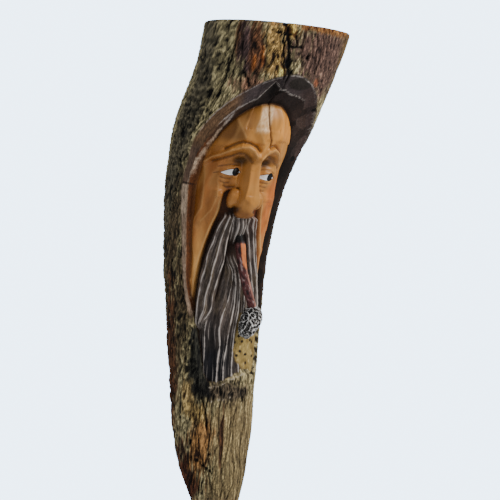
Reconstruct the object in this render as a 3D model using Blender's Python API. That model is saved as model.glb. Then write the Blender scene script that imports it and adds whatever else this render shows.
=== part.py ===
"""A tree face sculpture: an old wood spirit carved in the front of a tapering log that still has its bark.

The log's sawn back is flat and lies against the wall at y = 0, the face looks along -Y, and +Z is up.
The origin is on the flat back, on its middle line, where the sculpture is hung.
The log, the twig that is the pipe's stem and the rough knob that is its bowl are separate pieces.
"""

import math

import bmesh
import bpy
import numpy as np
from mathutils import Vector

# The whole carving is drawn at 461 mm, and every place on it is a share of the log's length.
LENGTH = 0.461
DRAWN_LENGTH = 461.0
UNIT = LENGTH / DRAWN_LENGTH
HANG_HEIGHT = 308.0

# The pipe's own sizes.
STEM_TOP_RADIUS = 0.0048
STEM_FOOT_RADIUS = 0.0030
STEM_IN_BOWL = 0.006
BOWL_LENGTH = 0.030
BOWL_WIDTH = 0.0195
BOWL_DEPTH = 0.0165
BOWL_TILT = math.radians(28)
BOWL_ROUGHNESS = 0.05
PIPE_CLEARANCE = 0.0003

# Heights up the log, in drawn mm above its tip: depth of the front from the wall, radius of the log,
# and how far the crooked log swings sideways.
LOG_HEIGHTS = (0, 8, 33, 73, 128, 198, 268, 328, 373, 418, 461)
LOG_DEPTHS = (4.5, 8, 16, 26, 36, 45, 58, 77, 93, 105, 113)
LOG_RADII = (9.5, 19, 29, 39, 42.5, 45.5, 49, 54.5, 60.5, 61.5, 64.5)
LOG_SWINGS = (36, 32, 28, 21, 14, 7, 0, -1, 5, 15, 22.5)

# The opening cut through the bark, the hood: an arch above this height, and two legs below it.
HOOD_SPRING = 45.0
HOOD_TOP = 111.0
HOOD_ARCH_POWER = 1.62
HOOD_LEG_HEIGHTS = (-160, -137, -115, -94, -76, -50, -14, 5, 34, 45)
HOOD_LEFT = (29.5, 33, 38, 45.5, 49.5, 53, 61, 65, 68.5, 68.5)
HOOD_RIGHT = (37, 45, 49, 51, 53, 56, 60, 63, 64, 64)
HOOD_FOOT = ((-24.5, -169), (-13, -170), (1.5, -163), (17, -156), (30, -158))

# The edge of the recess inside the hood, where the face and the beard begin.
RECESS_SPRING = 30.0
RECESS_TOP = 85.0
RECESS_MIDDLE = -3.0
RECESS_ARCH_POWER = 2.0
RECESS_LEG_HEIGHTS = (-157, -137, -117, -94, -76, -49.5, -13.5, 13, 30)
RECESS_LEFT = (25, 29, 34.5, 41, 43.5, 46.5, 53.5, 58, 60)
RECESS_RIGHT = (34, 42, 46, 47.5, 49, 51, 54, 54.5, 54)
RECESS_FOOT = ((-20, -165), (-11, -165), (2, -159), (16, -152), (27, -153))

# The fold where each cheek ends and the moustache's ground begins, by height.
CHEEK_HEIGHTS = (-98, -92, -70.5, -43, -23, -12.5, 0, 6.5, 9.5)
CHEEK_LEFT = (43, 42, 39.5, 34.5, 28.5, 25, 24, 21.5, 12)
CHEEK_RIGHT = (47, 46.5, 45, 40, 34, 30, 26, 22, 12)

# The two drooping halves of the moustache: the outer and the inner edge of each.
LOBE_HEIGHTS = (-121, -113, -101, -87, -73, -56, -43.5, -32, -24, -15)
LOBE_LEFT_OUTER = (33, 36, 37, 36.5, 34.5, 31, 28, 24, 21, 17)
LOBE_LEFT_INNER = (32, 27, 19.5, 16.5, 12.5, 8.5, 7, 6.5, 6.5, 6)
LOBE_RIGHT_OUTER = (40, 42, 43, 42.5, 41, 37, 33, 28, 23, 18)
LOBE_RIGHT_INNER = (39, 34, 31, 29, 25, 20, 16.5, 12.5, 9.5, 8)
LOBE_HEIGHT = 7.0
LOBE_STRANDS = 3

# The beard between and below them.
BEARD_HEIGHTS = (-170, -157, -137, -120, -104, -90, -72, -56, -45)
BEARD_LEFT = (-22, -26, -29.5, -33, -24, -17, -12, -8, -6)
BEARD_MIDDLE = (-9, -10, -11, -12, -13, -11, -9, -6, -4)
BEARD_RIGHT = (22, 23, 25, 26, 27, 26, 21, 16, 13)
BEARD_HEIGHT = 5.2
BEARD_STRANDS = 4
STRAND_HEIGHT = 2.4

# Depths below the log's own surface by height: the face, what its sides add, and the beard's ground.
FACE_HEIGHTS = (-170, -95, -60, -15, 10, 30, 44, 58, 72, 84, 95)
FACE_DEPTHS = (5, 7, 8, 9, 10, 10, 9, 11, 14, 19, 23)
FACE_SIDE_DEPTHS = (0, -1, -1.5, -1.5, -1, 1, 3, 5, 6, 6, 6)
GROUND_HEIGHTS = (-170, -150, -100, -60, -15)
GROUND_DEPTHS = (8, 8.5, 10.5, 14, 14)

BROW_LEFT = ((-53, 30.5), (-45, 34.5), (-34.5, 37.5), (-29, 40.5), (-23, 43), (-16, 43.5), (-10.5, 40), (-8.5, 34.5))
BROW_RIGHT = ((8, 34), (8.5, 40), (13, 44), (19, 42.5), (25, 38), (32, 33), (43, 30))
BROW_HEIGHT = 5.0
BROW_SPREAD = 3.6
CREASE_LEFT = ((-38, 43.5), (-31, 45.5), (-24, 49), (-17, 50.5), (-9, 48.5), (-4.5, 45.5))
CREASE_RIGHT = ((5, 46), (11, 50), (18, 49), (26, 44.5), (34, 39), (44, 35))

NOSE_HEIGHTS = (-8, -4, 3, 15, 28, 34, 40)
NOSE_RISES = (8, 10.5, 10.5, 8, 4.5, 2.5, 0)
NOSE_TOPS = (7, 7.5, 7, 5.5, 5.5, 6, 7)
NOSE_FEET = (11, 12.5, 12.5, 12, 11.5, 12, 13)
NOSE_TIP = (0.0, -5.0)
NOSE_TIP_RADII = (12.5, 12.0)
NOSE_TIP_RISE = 13.0
NOSE_WING = (13.0, 0.5)
NOSE_WING_RADII = (7.5, 9.0)
NOSE_WING_RISE = 8.0

EYE_PLACE = (23.5, 22.5)
SOCKET_PLACE = (20.0, 32.0)

PATCH_PLACE = (24.0, -131.0)
PATCH_RADII = (20.0, 26.0)

# The pipe's places: round the log, height, and depth below the log's surface. The stem starts in the mouth.
STEM_ROUTE = ((5.5, -29, 15.5), (4, -37, 8.5), (5, -60, -0.5))
BOWL_PLACE = (16.0, -108.5, -3.0)

# How finely the log is divided: columns between the lines that run down the carving, and rows in bands of height.
ZONE_COLUMNS = (5, 3, 7, 2, 6, 4)
ROW_BANDS = (
    (-308, -275, 4), (-275, -176, 6), (-176, -152, 6), (-152, -98, 8), (-98, -45, 8),
    (-45, -20, 8), (-20, 50, 21), (50, 112, 12), (112, 153, 4),
)
# How far the rows bend down at the sides to run along the arch, and over which heights.
ARCH_DROP = 30.0
ARCH_DROP_PLACE = 50.0
ARCH_DROP_MOST = 34.0
ARCH_DROP_END = 68.0
ARCH_DROP_HEIGHTS = (20, 80, 112, 153)


def curve(heights, values, z):
    """Smooth curve through the stations, with each station's slope from its neighbours."""
    x = np.asarray(heights, float)
    y = np.asarray(values, float)
    gap = np.diff(x)
    rise = np.diff(y) / gap
    slope = np.empty(len(x))
    slope[0] = rise[0]
    slope[-1] = rise[-1]
    slope[1:-1] = (rise[:-1] * gap[1:] + rise[1:] * gap[:-1]) / (gap[1:] + gap[:-1])
    z = np.clip(z, x[0], x[-1])
    i = np.clip(np.searchsorted(x, z) - 1, 0, len(gap) - 1)
    t = (z - x[i]) / gap[i]
    before = y[i] * (1 + 2 * t) * (1 - t) ** 2 + gap[i] * slope[i] * t * (1 - t) ** 2
    after = y[i + 1] * t * t * (3 - 2 * t) + gap[i] * slope[i + 1] * t * t * (t - 1)
    return before + after


def step(low, high, x):
    """0 below low, 1 above high, and an S-shaped rise between them."""
    t = np.clip((x - low) / (high - low), 0, 1)
    return t * t * (3 - 2 * t)


def mound(s, z, place, radii):
    """A round bump of height 1 at place, which dies away at about its radii."""
    return np.exp(-(((s - place[0]) / radii[0]) ** 2) - ((z - place[1]) / radii[1]) ** 2)


def path_distance(s, z, path):
    """Distance from each point to a path of straight runs."""
    best = np.full(np.shape(s), 1e9)
    for (s0, z0), (s1, z1) in zip(path[:-1], path[1:]):
        ds, dz = s1 - s0, z1 - z0
        t = np.clip(((s - s0) * ds + (z - z0) * dz) / (ds * ds + dz * dz), 0, 1)
        best = np.minimum(best, np.hypot(s - s0 - t * ds, z - z0 - t * dz))
    return best


def inside_distance(s, z, outline):
    """Distance to a closed outline, positive inside it."""
    inside = np.zeros(np.shape(s), bool)
    for (s0, z0), (s1, z1) in zip(outline, outline[1:] + outline[:1]):
        crosses = (z0 > z) != (z1 > z)
        with np.errstate(divide="ignore", invalid="ignore"):
            at = s0 + (z - z0) * (s1 - s0) / (z1 - z0)
        inside ^= crosses & (s < at)
    distance = path_distance(s, z, outline + outline[:1])
    return np.where(inside, distance, -distance)


def opening(spring, top, middle, power, heights, left, right, foot):
    """Outline of an arch on two legs, closed by the points of its foot, clockwise from the left spring."""
    points = []
    for angle in np.linspace(0, math.pi, 25):
        across, up = math.cos(angle), math.sin(angle)
        half = left[-1] + middle if across > 0 else right[-1] - middle
        s = -math.copysign(abs(across) ** (2 / power), across) * half
        points.append((s + middle, spring + (top - spring) * up ** (2 / power)))
    down = np.linspace(heights[-1], heights[0], 20)[1:]
    points += [(float(curve(heights, right, z)), float(z)) for z in down]
    points += [tuple(map(float, p)) for p in foot[::-1]]
    points += [(-float(curve(heights, left, z)), float(z)) for z in down[::-1]]
    return points


HOOD = opening(HOOD_SPRING, HOOD_TOP, 0.0, HOOD_ARCH_POWER, HOOD_LEG_HEIGHTS, HOOD_LEFT, HOOD_RIGHT, HOOD_FOOT)
RECESS = opening(
    RECESS_SPRING, RECESS_TOP, RECESS_MIDDLE, RECESS_ARCH_POWER,
    RECESS_LEG_HEIGHTS, RECESS_LEFT, RECESS_RIGHT, RECESS_FOOT,
)


def log_section(z):
    """(depth of the front, radius, sideways swing) of the plain log at a height, in drawn mm."""
    height = z + HANG_HEIGHT
    return tuple(curve(LOG_HEIGHTS, values, height) for values in (LOG_DEPTHS, LOG_RADII, LOG_SWINGS))


def log_point(s, z, inset):
    """The point that lies inset mm below the log's surface, s mm round from its front line, in metres."""
    depth, radius, swing = log_section(z)
    corner = np.arccos(np.clip(1 - depth / radius, -1, 1))
    turn = np.clip(s / radius, -corner, corner)
    out = radius - inset
    x = swing + out * np.sin(turn)
    y = -np.maximum(depth - radius + out * np.cos(turn), 0)
    return np.stack([x, y, z + 0 * x], -1) * UNIT


def strands(across, count):
    """Sharp crests with rounded flutes between them, over a lock of hair that runs from 0 to 1."""
    return 1 - np.abs(np.sin(math.pi * count * np.clip(across, 0, 1)))


def nose_rise(s, z):
    """How far the nose stands out of the face: a flat-topped wedge with a round wing on each side."""
    rise = curve(NOSE_HEIGHTS, NOSE_RISES, z)
    top = curve(NOSE_HEIGHTS, NOSE_TOPS, z)
    foot = curve(NOSE_HEIGHTS, NOSE_FEET, z)
    ridge = rise * (1 - np.clip((np.abs(s) - top) / (foot - top), 0, 1)) * np.where(z > -8, 1, 0)
    for place, radii, height in (
        (NOSE_TIP, NOSE_TIP_RADII, NOSE_TIP_RISE),
        (NOSE_WING, NOSE_WING_RADII, NOSE_WING_RISE),
    ):
        reach = 1 - np.abs((np.abs(s) - place[0]) / radii[0]) ** 2.5 - np.abs((z - place[1]) / radii[1]) ** 2.2
        ridge = np.maximum(ridge, height * np.clip(reach, 0, 1) ** 0.45)
    return ridge


def face_depth(s, z):
    """Depth of the face below the log's surface: forehead, brows, sockets, eyes, cheeks and nose."""
    depth = curve(FACE_HEIGHTS, FACE_DEPTHS, z)
    depth = depth + curve(FACE_HEIGHTS, FACE_SIDE_DEPTHS, z) * (s / 60) ** 2
    depth = depth - 3.0 * mound(s, z, (0, 64), (34, 20))
    for path, crease in ((BROW_LEFT, CREASE_LEFT), (BROW_RIGHT, CREASE_RIGHT)):
        depth = depth - BROW_HEIGHT * np.exp(-((path_distance(s, z, path) / BROW_SPREAD) ** 2))
        depth = depth + 2.2 * np.exp(-((path_distance(s, z, crease) / 1.8) ** 2))
    side = np.abs(s)
    depth = depth + 4.5 * mound(side, z, SOCKET_PLACE, (14, 5.5)) + 3.0 * mound(side, z, (13, 24), (4, 9))
    depth = depth - 2.6 * mound(side, z, EYE_PLACE, (12, 6))
    depth = depth - 2.5 * mound(side, z, (36, 4), (14, 14)) - 1.5 * mound(side, z, (46, -25), (6, 40))
    depth = depth + 2.0 * mound(side, z, (26, 9), (10, 4))
    return depth - nose_rise(s, z)


def lock(s, left, right):
    """(height from 0 to 1, place across from 0 to 1) of a rounded lock of hair between two edges."""
    across = (s - left) / np.maximum(right - left, 1.0)
    return np.clip(1 - (2 * across - 1) ** 2, 0, 1) ** 0.4, np.clip(across, 0, 1)


def beard_depth(s, z):
    """Depth of the moustache, the mouth's hollow and the beard below the log's surface."""
    ground = curve(GROUND_HEIGHTS, GROUND_DEPTHS, z)
    left, middle, right = (curve(BEARD_HEIGHTS, edge, z) for edge in (BEARD_LEFT, BEARD_MIDDLE, BEARD_RIGHT))
    dome, _ = lock(s, left, right)
    length = 1 - step(-62, -48, z)
    outer_part = strands((s - left) / np.maximum(middle - left, 1), LOBE_STRANDS)
    inner_part = strands((s - middle) / (right - middle), BEARD_STRANDS)
    ridges = np.where(s < middle, outer_part, inner_part) * step(0.1, 0.6, dome)
    depth = ground - (BEARD_HEIGHT * dome + STRAND_HEIGHT * ridges) * length
    ends = step(-122, -112, z) * (1 - step(-17, -12, z))
    for sign, inner, outer in (
        (-1, LOBE_LEFT_INNER, LOBE_LEFT_OUTER),
        (1, LOBE_RIGHT_INNER, LOBE_RIGHT_OUTER),
    ):
        dome, across = lock(sign * s, curve(LOBE_HEIGHTS, inner, z), curve(LOBE_HEIGHTS, outer, z))
        ridges = strands(across, LOBE_STRANDS) * step(0.1, 0.6, dome)
        depth = np.minimum(depth, ground - (LOBE_HEIGHT * dome + STRAND_HEIGHT * ridges) * ends)
    lip = mound(s, z, (2, -20), (11, 8))
    depth = np.minimum(depth, ground + 0.5 - 8 * lip - 1.6 * lip * strands((s + 11) / 26, 4))
    reach = 1 - np.hypot((s - PATCH_PLACE[0]) / PATCH_RADII[0], (z - PATCH_PLACE[1]) / PATCH_RADII[1])
    return depth + (3.0 - depth) * step(-0.15, 0.1, reach)


def carving_depth(s, z):
    """Depth of the finished surface below the plain log: bark outside the hood, then hood, face and beard."""
    from_bark = inside_distance(s, z, HOOD)
    from_recess = inside_distance(s, z, RECESS)
    cheek = np.where(s < 0, curve(CHEEK_HEIGHTS, CHEEK_LEFT, z), curve(CHEEK_HEIGHTS, CHEEK_RIGHT, z))
    face = face_depth(s, z)
    is_beard = (1 - step(-1.2, 1.2, np.abs(s) - cheek)) * (1 - step(8.5, 11, z))
    under_nose = (1 - step(1.5, 3.5, nose_rise(s, z))) * is_beard
    within = face + (beard_depth(s, z) - face) * under_nose
    within = within + 2.0 * np.exp(-((from_recess / 2.2) ** 2)) * step(-90, -60, z)
    band = np.clip(from_bark / np.maximum(from_bark - from_recess, 0.1), 0, 1)
    slope = within * np.interp(band, (0, 0.08, 0.65, 1), (0, 0.08, 0.35, 1))
    depth = np.where(from_recess > 0, within, slope)
    return np.where(from_bark > 0, depth, 0)


def side_lines(z, hood, recess, cheek, outer, inner, middle):
    """The lines that run down one side of the carving, from the corner at the wall to its middle, at height z."""
    depth, radius, _ = log_section(z)
    corner = float(radius * math.acos(np.clip(1 - depth / radius, -1, 1)))
    face, below = float(step(-16, -8, z)), float(1 - step(-124, -96, z))
    hood_edge = min(float(curve(HOOD_LEG_HEIGHTS, hood, z)), 0.84 * corner)
    recess_edge = min(float(curve(RECESS_LEG_HEIGHTS, recess, z)), hood_edge - min(2.5, 0.08 * corner))
    fold = float(curve(CHEEK_HEIGHTS[:7], cheek[:7], z))
    hair_outer = float(curve(LOBE_HEIGHTS, outer, z))
    hair_inner = float(curve(LOBE_HEIGHTS, inner, z))
    fold = min(fold + (0.72 * recess_edge - fold) * below, recess_edge - min(2, 0.12 * corner))
    hair_outer += (fold - 3 - hair_outer) * max(face, below)
    hair_inner += (12.5 - hair_inner) * face + (middle - hair_inner) * below
    hair_outer = min(hair_outer, fold - min(1, 0.1 * corner))
    hair_inner = min(hair_inner, hair_outer - min(4, 0.2 * corner))
    return [corner, hood_edge, recess_edge, fold, hair_outer, hair_inner, 0.0]


def front_columns(z, finer=1):
    """Distances round from the front line of every column of one row, from corner to corner."""
    left = side_lines(z, HOOD_LEFT, RECESS_LEFT, CHEEK_LEFT, LOBE_LEFT_OUTER, LOBE_LEFT_INNER, 11.0)
    right = side_lines(z, HOOD_RIGHT, RECESS_RIGHT, CHEEK_RIGHT, LOBE_RIGHT_OUTER, LOBE_RIGHT_INNER, 21.0)
    centre = (right[-2] - left[-2]) / 2
    places = []
    for sign, lines in ((-1, left), (1, right)):
        lines[-1] = sign * centre
        side = [np.linspace(a, b, finer * n + 1)[:-1] for a, b, n in zip(lines, lines[1:], ZONE_COLUMNS)]
        places.append(sign * np.concatenate(side))
    return np.concatenate([places[0], [centre], places[1][::-1]])


def row_heights(finer=1):
    """Height of every row of the log's skin, closest together over the face."""
    rows = [np.linspace(low, high, finer * count + 1)[:-1] for low, high, count in ROW_BANDS]
    return np.append(np.concatenate(rows), ROW_BANDS[-1][1])


def row_levels(level, s):
    """Height of each vertex of one row: level, but bent down at the sides where the hood arches over."""
    side = np.abs(s)
    drop = np.minimum(ARCH_DROP * (side / ARCH_DROP_PLACE) ** 2, ARCH_DROP_MOST)
    drop = drop * np.clip((side[-1] - side) / (side[-1] - ARCH_DROP_END), 0, 1)
    return level - drop * np.interp(level, ARCH_DROP_HEIGHTS, (0, 1, 1, 0))


def build_log():
    """The log: a cylinder with a column for each vertex of a row, each row shaped to the log and its carving."""
    heights = row_heights()
    columns = 2 * sum(ZONE_COLUMNS) + 1
    skin = bmesh.new()
    bmesh.ops.create_cone(skin, cap_ends=True, segments=columns, radius1=1, radius2=1, depth=1)
    upright = [edge for edge in skin.edges if abs(edge.verts[0].co.z - edge.verts[1].co.z) > 0.5]
    bmesh.ops.subdivide_edges(skin, edges=upright, cuts=len(heights) - 2, use_grid_fill=True)
    rows = []
    for z in heights:
        s = front_columns(z)
        level = row_levels(z, s)
        rows.append(log_point(s, level, carving_depth(s, level)))
    for vertex in skin.verts:
        turn = math.atan2(vertex.co.x, -vertex.co.y) / (2 * math.pi) * columns
        column = round(turn + columns / 2) % columns
        row = round((vertex.co.z + 0.5) * (len(heights) - 1))
        vertex.co = rows[row][column]
    bmesh.ops.recalc_face_normals(skin, faces=skin.faces)
    return as_object("carved_log", skin)


def as_object(name, mesh_tool, collection=None):
    """A new smooth object with the mesh that was built, in the sculpture's collection or the cutters'."""
    mesh = bpy.data.meshes.new(name)
    mesh_tool.to_mesh(mesh)
    mesh_tool.free()
    mesh.shade_smooth()
    mesh.set_sharp_from_angle(angle=math.radians(38))
    thing = bpy.data.objects.new(name, mesh)
    (collection or SCULPTURE).objects.link(thing)
    return thing


def place_on_log(place):
    """A place round the log, its height and its depth as a point in metres."""
    s, z, inset = (np.array(float(value)) for value in place)
    return Vector(log_point(s, z, inset))


def bowl_frame():
    """Centre of the bowl, and the directions across it, out of the log, and up its length."""
    s, z, inset = BOWL_PLACE
    centre = place_on_log(BOWL_PLACE)
    out = (place_on_log((s, z, inset - 5)) - centre).normalized()
    across = Vector((0, 0, 1)).cross(-out).normalized()
    level_up = across.cross(-out).normalized()
    level_up = level_up if level_up.z > 0 else -level_up
    up = level_up * math.cos(BOWL_TILT) - across * math.sin(BOWL_TILT)
    return centre, out.cross(up).normalized(), out, up


def smooth_route(points, steps):
    """Points along a smooth curve through the given points."""
    lengths = [0.0]
    for a, b in zip(points, points[1:]):
        lengths.append(lengths[-1] + (b - a).length)
    at = np.linspace(0, lengths[-1], steps)
    return np.stack([curve(lengths, [point[axis] for point in points], at) for axis in range(3)], -1)


def build_stem(name, grow, collection=None):
    """The stem: a tapering twig from the mouth into the bowl, as a mesh grown all over by a clearance."""
    centre, _, _, up = bowl_frame()
    foot = centre + up * (BOWL_LENGTH / 2 - STEM_IN_BOWL)
    points = smooth_route([place_on_log(place) for place in STEM_ROUTE] + [foot], 18)
    if grow:
        points[0] += (points[0] - points[1]) / np.linalg.norm(points[0] - points[1]) * grow
        points[-1] += (points[-1] - points[-2]) / np.linalg.norm(points[-1] - points[-2]) * grow
    line = bpy.data.curves.new(name, "CURVE")
    line.dimensions = "3D"
    line.bevel_depth = 1.0
    line.bevel_resolution = 3
    line.use_fill_caps = True
    spline = line.splines.new("POLY")
    spline.points.add(len(points) - 1)
    for i, (vertex, point) in enumerate(zip(spline.points, points)):
        share = i / (len(points) - 1)
        knots = 1 + 0.05 * math.sin(9 * share + 1)
        vertex.co = (*point, 1)
        vertex.radius = (STEM_TOP_RADIUS + (STEM_FOOT_RADIUS - STEM_TOP_RADIUS) * share) * knots + grow
    return curve_to_mesh(name, line, collection)


def curve_to_mesh(name, line, collection):
    """The curve as a closed mesh object, with its caps welded on."""
    guide = bpy.data.objects.new(name + "_line", line)
    SCULPTURE.objects.link(guide)
    bpy.context.view_layer.update()
    mesh = bpy.data.meshes.new_from_object(guide.evaluated_get(bpy.context.evaluated_depsgraph_get()))
    skin = bmesh.new()
    skin.from_mesh(mesh)
    bmesh.ops.remove_doubles(skin, verts=skin.verts, dist=0.00001)
    bpy.data.objects.remove(guide)
    return as_object(name, skin, collection)


def build_bowl(name, grow, collection=None):
    """The bowl: a rough knob, longer than wide, grown all over by a clearance."""
    centre, across, out, up = bowl_frame()
    skin = bmesh.new()
    bmesh.ops.create_uvsphere(skin, u_segments=20, v_segments=12, radius=1)
    for vertex in skin.verts:
        x, y, z = vertex.co
        turn = math.atan2(y, x)
        rough = math.sin(5 * turn + 4 * z) * math.sin(7 * z + 2 * turn) + 0.6 * math.sin(9 * turn - 6 * z + 1)
        full = (1 + BOWL_ROUGHNESS * rough) * (1 + 0.10 * z)
        side = (x * x + y * y) ** -0.15 if abs(z) < 0.99 else 1
        vertex.co = (
            centre
            + across * x * side * full * (BOWL_WIDTH / 2 + grow)
            + out * y * side * full * (BOWL_DEPTH / 2 + grow)
            + up * z * (1 + 0.5 * BOWL_ROUGHNESS * rough) * (BOWL_LENGTH / 2 + grow)
        )
    bmesh.ops.recalc_face_normals(skin, faces=skin.faces)
    return as_object(name, skin, collection)


def cut(target, cutter):
    """Cuts one object's shape out of another and keeps the cutter as a guide."""
    cutter.hide_render = True
    cutter.display_type = "WIRE"
    modifier = target.modifiers.new("cut_" + cutter.name, "BOOLEAN")
    modifier.operation = "DIFFERENCE"
    modifier.solver = "EXACT"
    modifier.object = cutter


def give_material(thing, name, color, roughness):
    """A plain surface in the piece's own colour."""
    material = bpy.data.materials.new(name)
    material.use_nodes = True
    shader = material.node_tree.nodes["Principled BSDF"]
    shader.inputs["Base Color"].default_value = (*color, 1)
    shader.inputs["Roughness"].default_value = roughness
    shader.inputs["Metallic"].default_value = 0
    material.diffuse_color = (*color, 1)
    thing.data.materials.clear()
    thing.data.materials.append(material)


def clear_scene():
    """Removes whatever the scene holds."""
    for thing in list(bpy.data.objects):
        bpy.data.objects.remove(thing)


def new_collection(name):
    """A collection linked to the scene."""
    made = bpy.data.collections.new(name)
    bpy.context.scene.collection.children.link(made)
    return made


clear_scene()
SCULPTURE = new_collection("tree_face_sculpture")
CUTTERS = new_collection("cutters")

log = build_log()
stem = build_stem("pipe_stem", 0)
bowl = build_bowl("pipe_bowl", 0)
stem_seat = build_stem("stem_seat", PIPE_CLEARANCE, CUTTERS)
bowl_seat = build_bowl("bowl_seat", PIPE_CLEARANCE, CUTTERS)
cut(log, stem_seat)
cut(log, bowl_seat)
cut(bowl, stem_seat)

give_material(log, "oiled wood and bark", (0.30, 0.17, 0.07), 0.62)
give_material(stem, "dark twig", (0.14, 0.045, 0.03), 0.45)
give_material(bowl, "rough grey knob", (0.22, 0.20, 0.18), 0.85)
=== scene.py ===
"""The looks of a tree face sculpture: a wood spirit carved in a log that keeps its bark, with a pipe in his mouth.

Every place on the log is written as (s, z) in drawn millimetres: s is the distance round the bark from the
log's front line, positive to the viewer's right, and z is the height above the point where it is hung.
A depth, or inset, is how far the finished surface lies below the plain round log.
"""

import logging
import math
from dataclasses import dataclass
from enum import Enum
from typing import Sequence

import bpy
import numpy as np
from bpy.types import Material, Node, NodeSocket
from mathutils import Matrix, Vector


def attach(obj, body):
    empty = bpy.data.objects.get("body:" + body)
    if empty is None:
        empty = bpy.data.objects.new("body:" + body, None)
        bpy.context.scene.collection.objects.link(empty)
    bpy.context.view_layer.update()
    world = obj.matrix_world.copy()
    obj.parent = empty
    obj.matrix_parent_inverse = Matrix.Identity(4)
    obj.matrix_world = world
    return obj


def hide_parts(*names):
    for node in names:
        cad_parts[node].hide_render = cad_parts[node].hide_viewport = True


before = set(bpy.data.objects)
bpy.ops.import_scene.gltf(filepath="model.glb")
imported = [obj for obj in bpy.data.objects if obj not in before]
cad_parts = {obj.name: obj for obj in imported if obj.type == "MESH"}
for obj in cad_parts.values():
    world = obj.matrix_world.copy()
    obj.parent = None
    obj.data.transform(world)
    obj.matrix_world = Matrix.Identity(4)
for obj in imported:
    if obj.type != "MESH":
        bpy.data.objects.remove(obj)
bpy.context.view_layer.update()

LOG = logging.getLogger("tree_face")
Array = np.ndarray
Row = tuple[float, ...]
Pair = tuple[float, float]
Triple = tuple[float, float, float]
Path = Sequence[Pair]
Colour = Triple

UNIT = 0.001
HANG_HEIGHT = 308.0


def paint(red: float, green: float, blue: float) -> Colour:
    """Linear colour of a paint or wood that is matched on the usual 0 to 255 scale."""
    shares = (channel / 255 for channel in (red, green, blue))
    return tuple(c / 12.92 if c <= 0.04045 else ((c + 0.055) / 1.055) ** 2.4 for c in shares)


def held(x: Array) -> Array:
    """Values kept between 0 and 1."""
    return np.clip(x, 0, 1)


def step(low: float, high: float, x: Array) -> Array:
    """0 below low, 1 above high, and an S-shaped rise t*t*(3 - 2t) between them."""
    t = held((x - low) / (high - low))
    return t * t * (3 - 2 * t)


def blend(first: Array, second: Array, share: Array) -> Array:
    """Colours of shape (n, 3) mixed by a share for each place: first + (second - first) * share."""
    return first + (np.asarray(second) - first) * share[:, None]


def painted(base: Array, *coats: tuple[Array, Array]) -> Array:
    """A base with colours laid over it in turn, each blended in by its own share.

    Args:
        base: the colour below.
        *coats: (colour, share for each place) of each one.

    Returns:
        The colour that shows.
    """
    for colour, share in coats:
        base = blend(base, colour, share)
    return base


def curve(heights: Sequence[float], values: Sequence[float], z: Array) -> Array:
    """Smooth curve through stations, with each station's slope taken from its neighbours.

    Args:
        heights: where the stations are, rising.
        values: the curve's value at each.
        z: where it is wanted; beyond the last station it keeps that station's value.

    Returns:
        The cubic Hermite curve's values at z.
    """
    x, y = np.asarray(heights, float), np.asarray(values, float)
    gap = np.diff(x)
    rise = np.diff(y) / gap
    slope = np.concatenate([rise[:1], (rise[:-1] * gap[1:] + rise[1:] * gap[:-1]) / (gap[1:] + gap[:-1]), rise[-1:]])
    z = np.clip(z, x[0], x[-1])
    i = np.clip(np.searchsorted(x, z) - 1, 0, len(gap) - 1)
    t = (z - x[i]) / gap[i]
    before = y[i] * (1 + 2 * t) * (1 - t) ** 2 + gap[i] * slope[i] * t * (1 - t) ** 2
    after = y[i + 1] * t * t * (3 - 2 * t) + gap[i] * slope[i + 1] * t * t * (t - 1)
    return before + after


def path_distance(s: Array, z: Array, path: Path) -> Array:
    """Distance from each place to the nearest of a path's straight runs.

    Args:
        s, z: places on the log.
        path: the corners between the runs.

    Returns:
        The distance in mm from each place to its foot on the nearest run, held between the run's ends.
    """
    best = np.full(np.shape(s), 1e9)
    for (s0, z0), (s1, z1) in zip(path[:-1], path[1:]):
        ds, dz = s1 - s0, z1 - z0
        t = held(((s - s0) * ds + (z - z0) * dz) / (ds * ds + dz * dz))
        best = np.minimum(best, np.hypot(s - s0 - t * ds, z - z0 - t * dz))
    return best


def line(s: Array, z: Array, path: Path, width: float) -> Array:
    """A soft line along a path: exp(-(distance / width) squared), so 1 on it and fading about a width away."""
    return np.exp(-((path_distance(s, z, path) / width) ** 2))


def mound(s: Array, z: Array, place: Pair, radii: Pair) -> Array:
    """A round bump of height 1: exp of minus the squared distance in radii."""
    return np.exp(-(((s - place[0]) / radii[0]) ** 2) - ((z - place[1]) / radii[1]) ** 2)


def inside_distance(s: Array, z: Array, outline: Path) -> Array:
    """Distance to a closed outline, positive inside it.

    Args:
        s, z: places on the log.
        outline: the outline's corners; the last is joined to the first.

    Returns:
        The distance in mm. A place is inside if a ray from it crosses the outline an odd number of times.
    """
    closed = list(outline) + [outline[0]]
    inside = np.zeros(np.shape(s), bool)
    for (s0, z0), (s1, z1) in zip(closed[:-1], closed[1:]):
        if z0 != z1:
            inside ^= ((z0 > z) != (z1 > z)) & (s < s0 + (z - z0) * (s1 - s0) / (z1 - z0))
    distance = path_distance(s, z, closed)
    return np.where(inside, distance, -distance)


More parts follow.
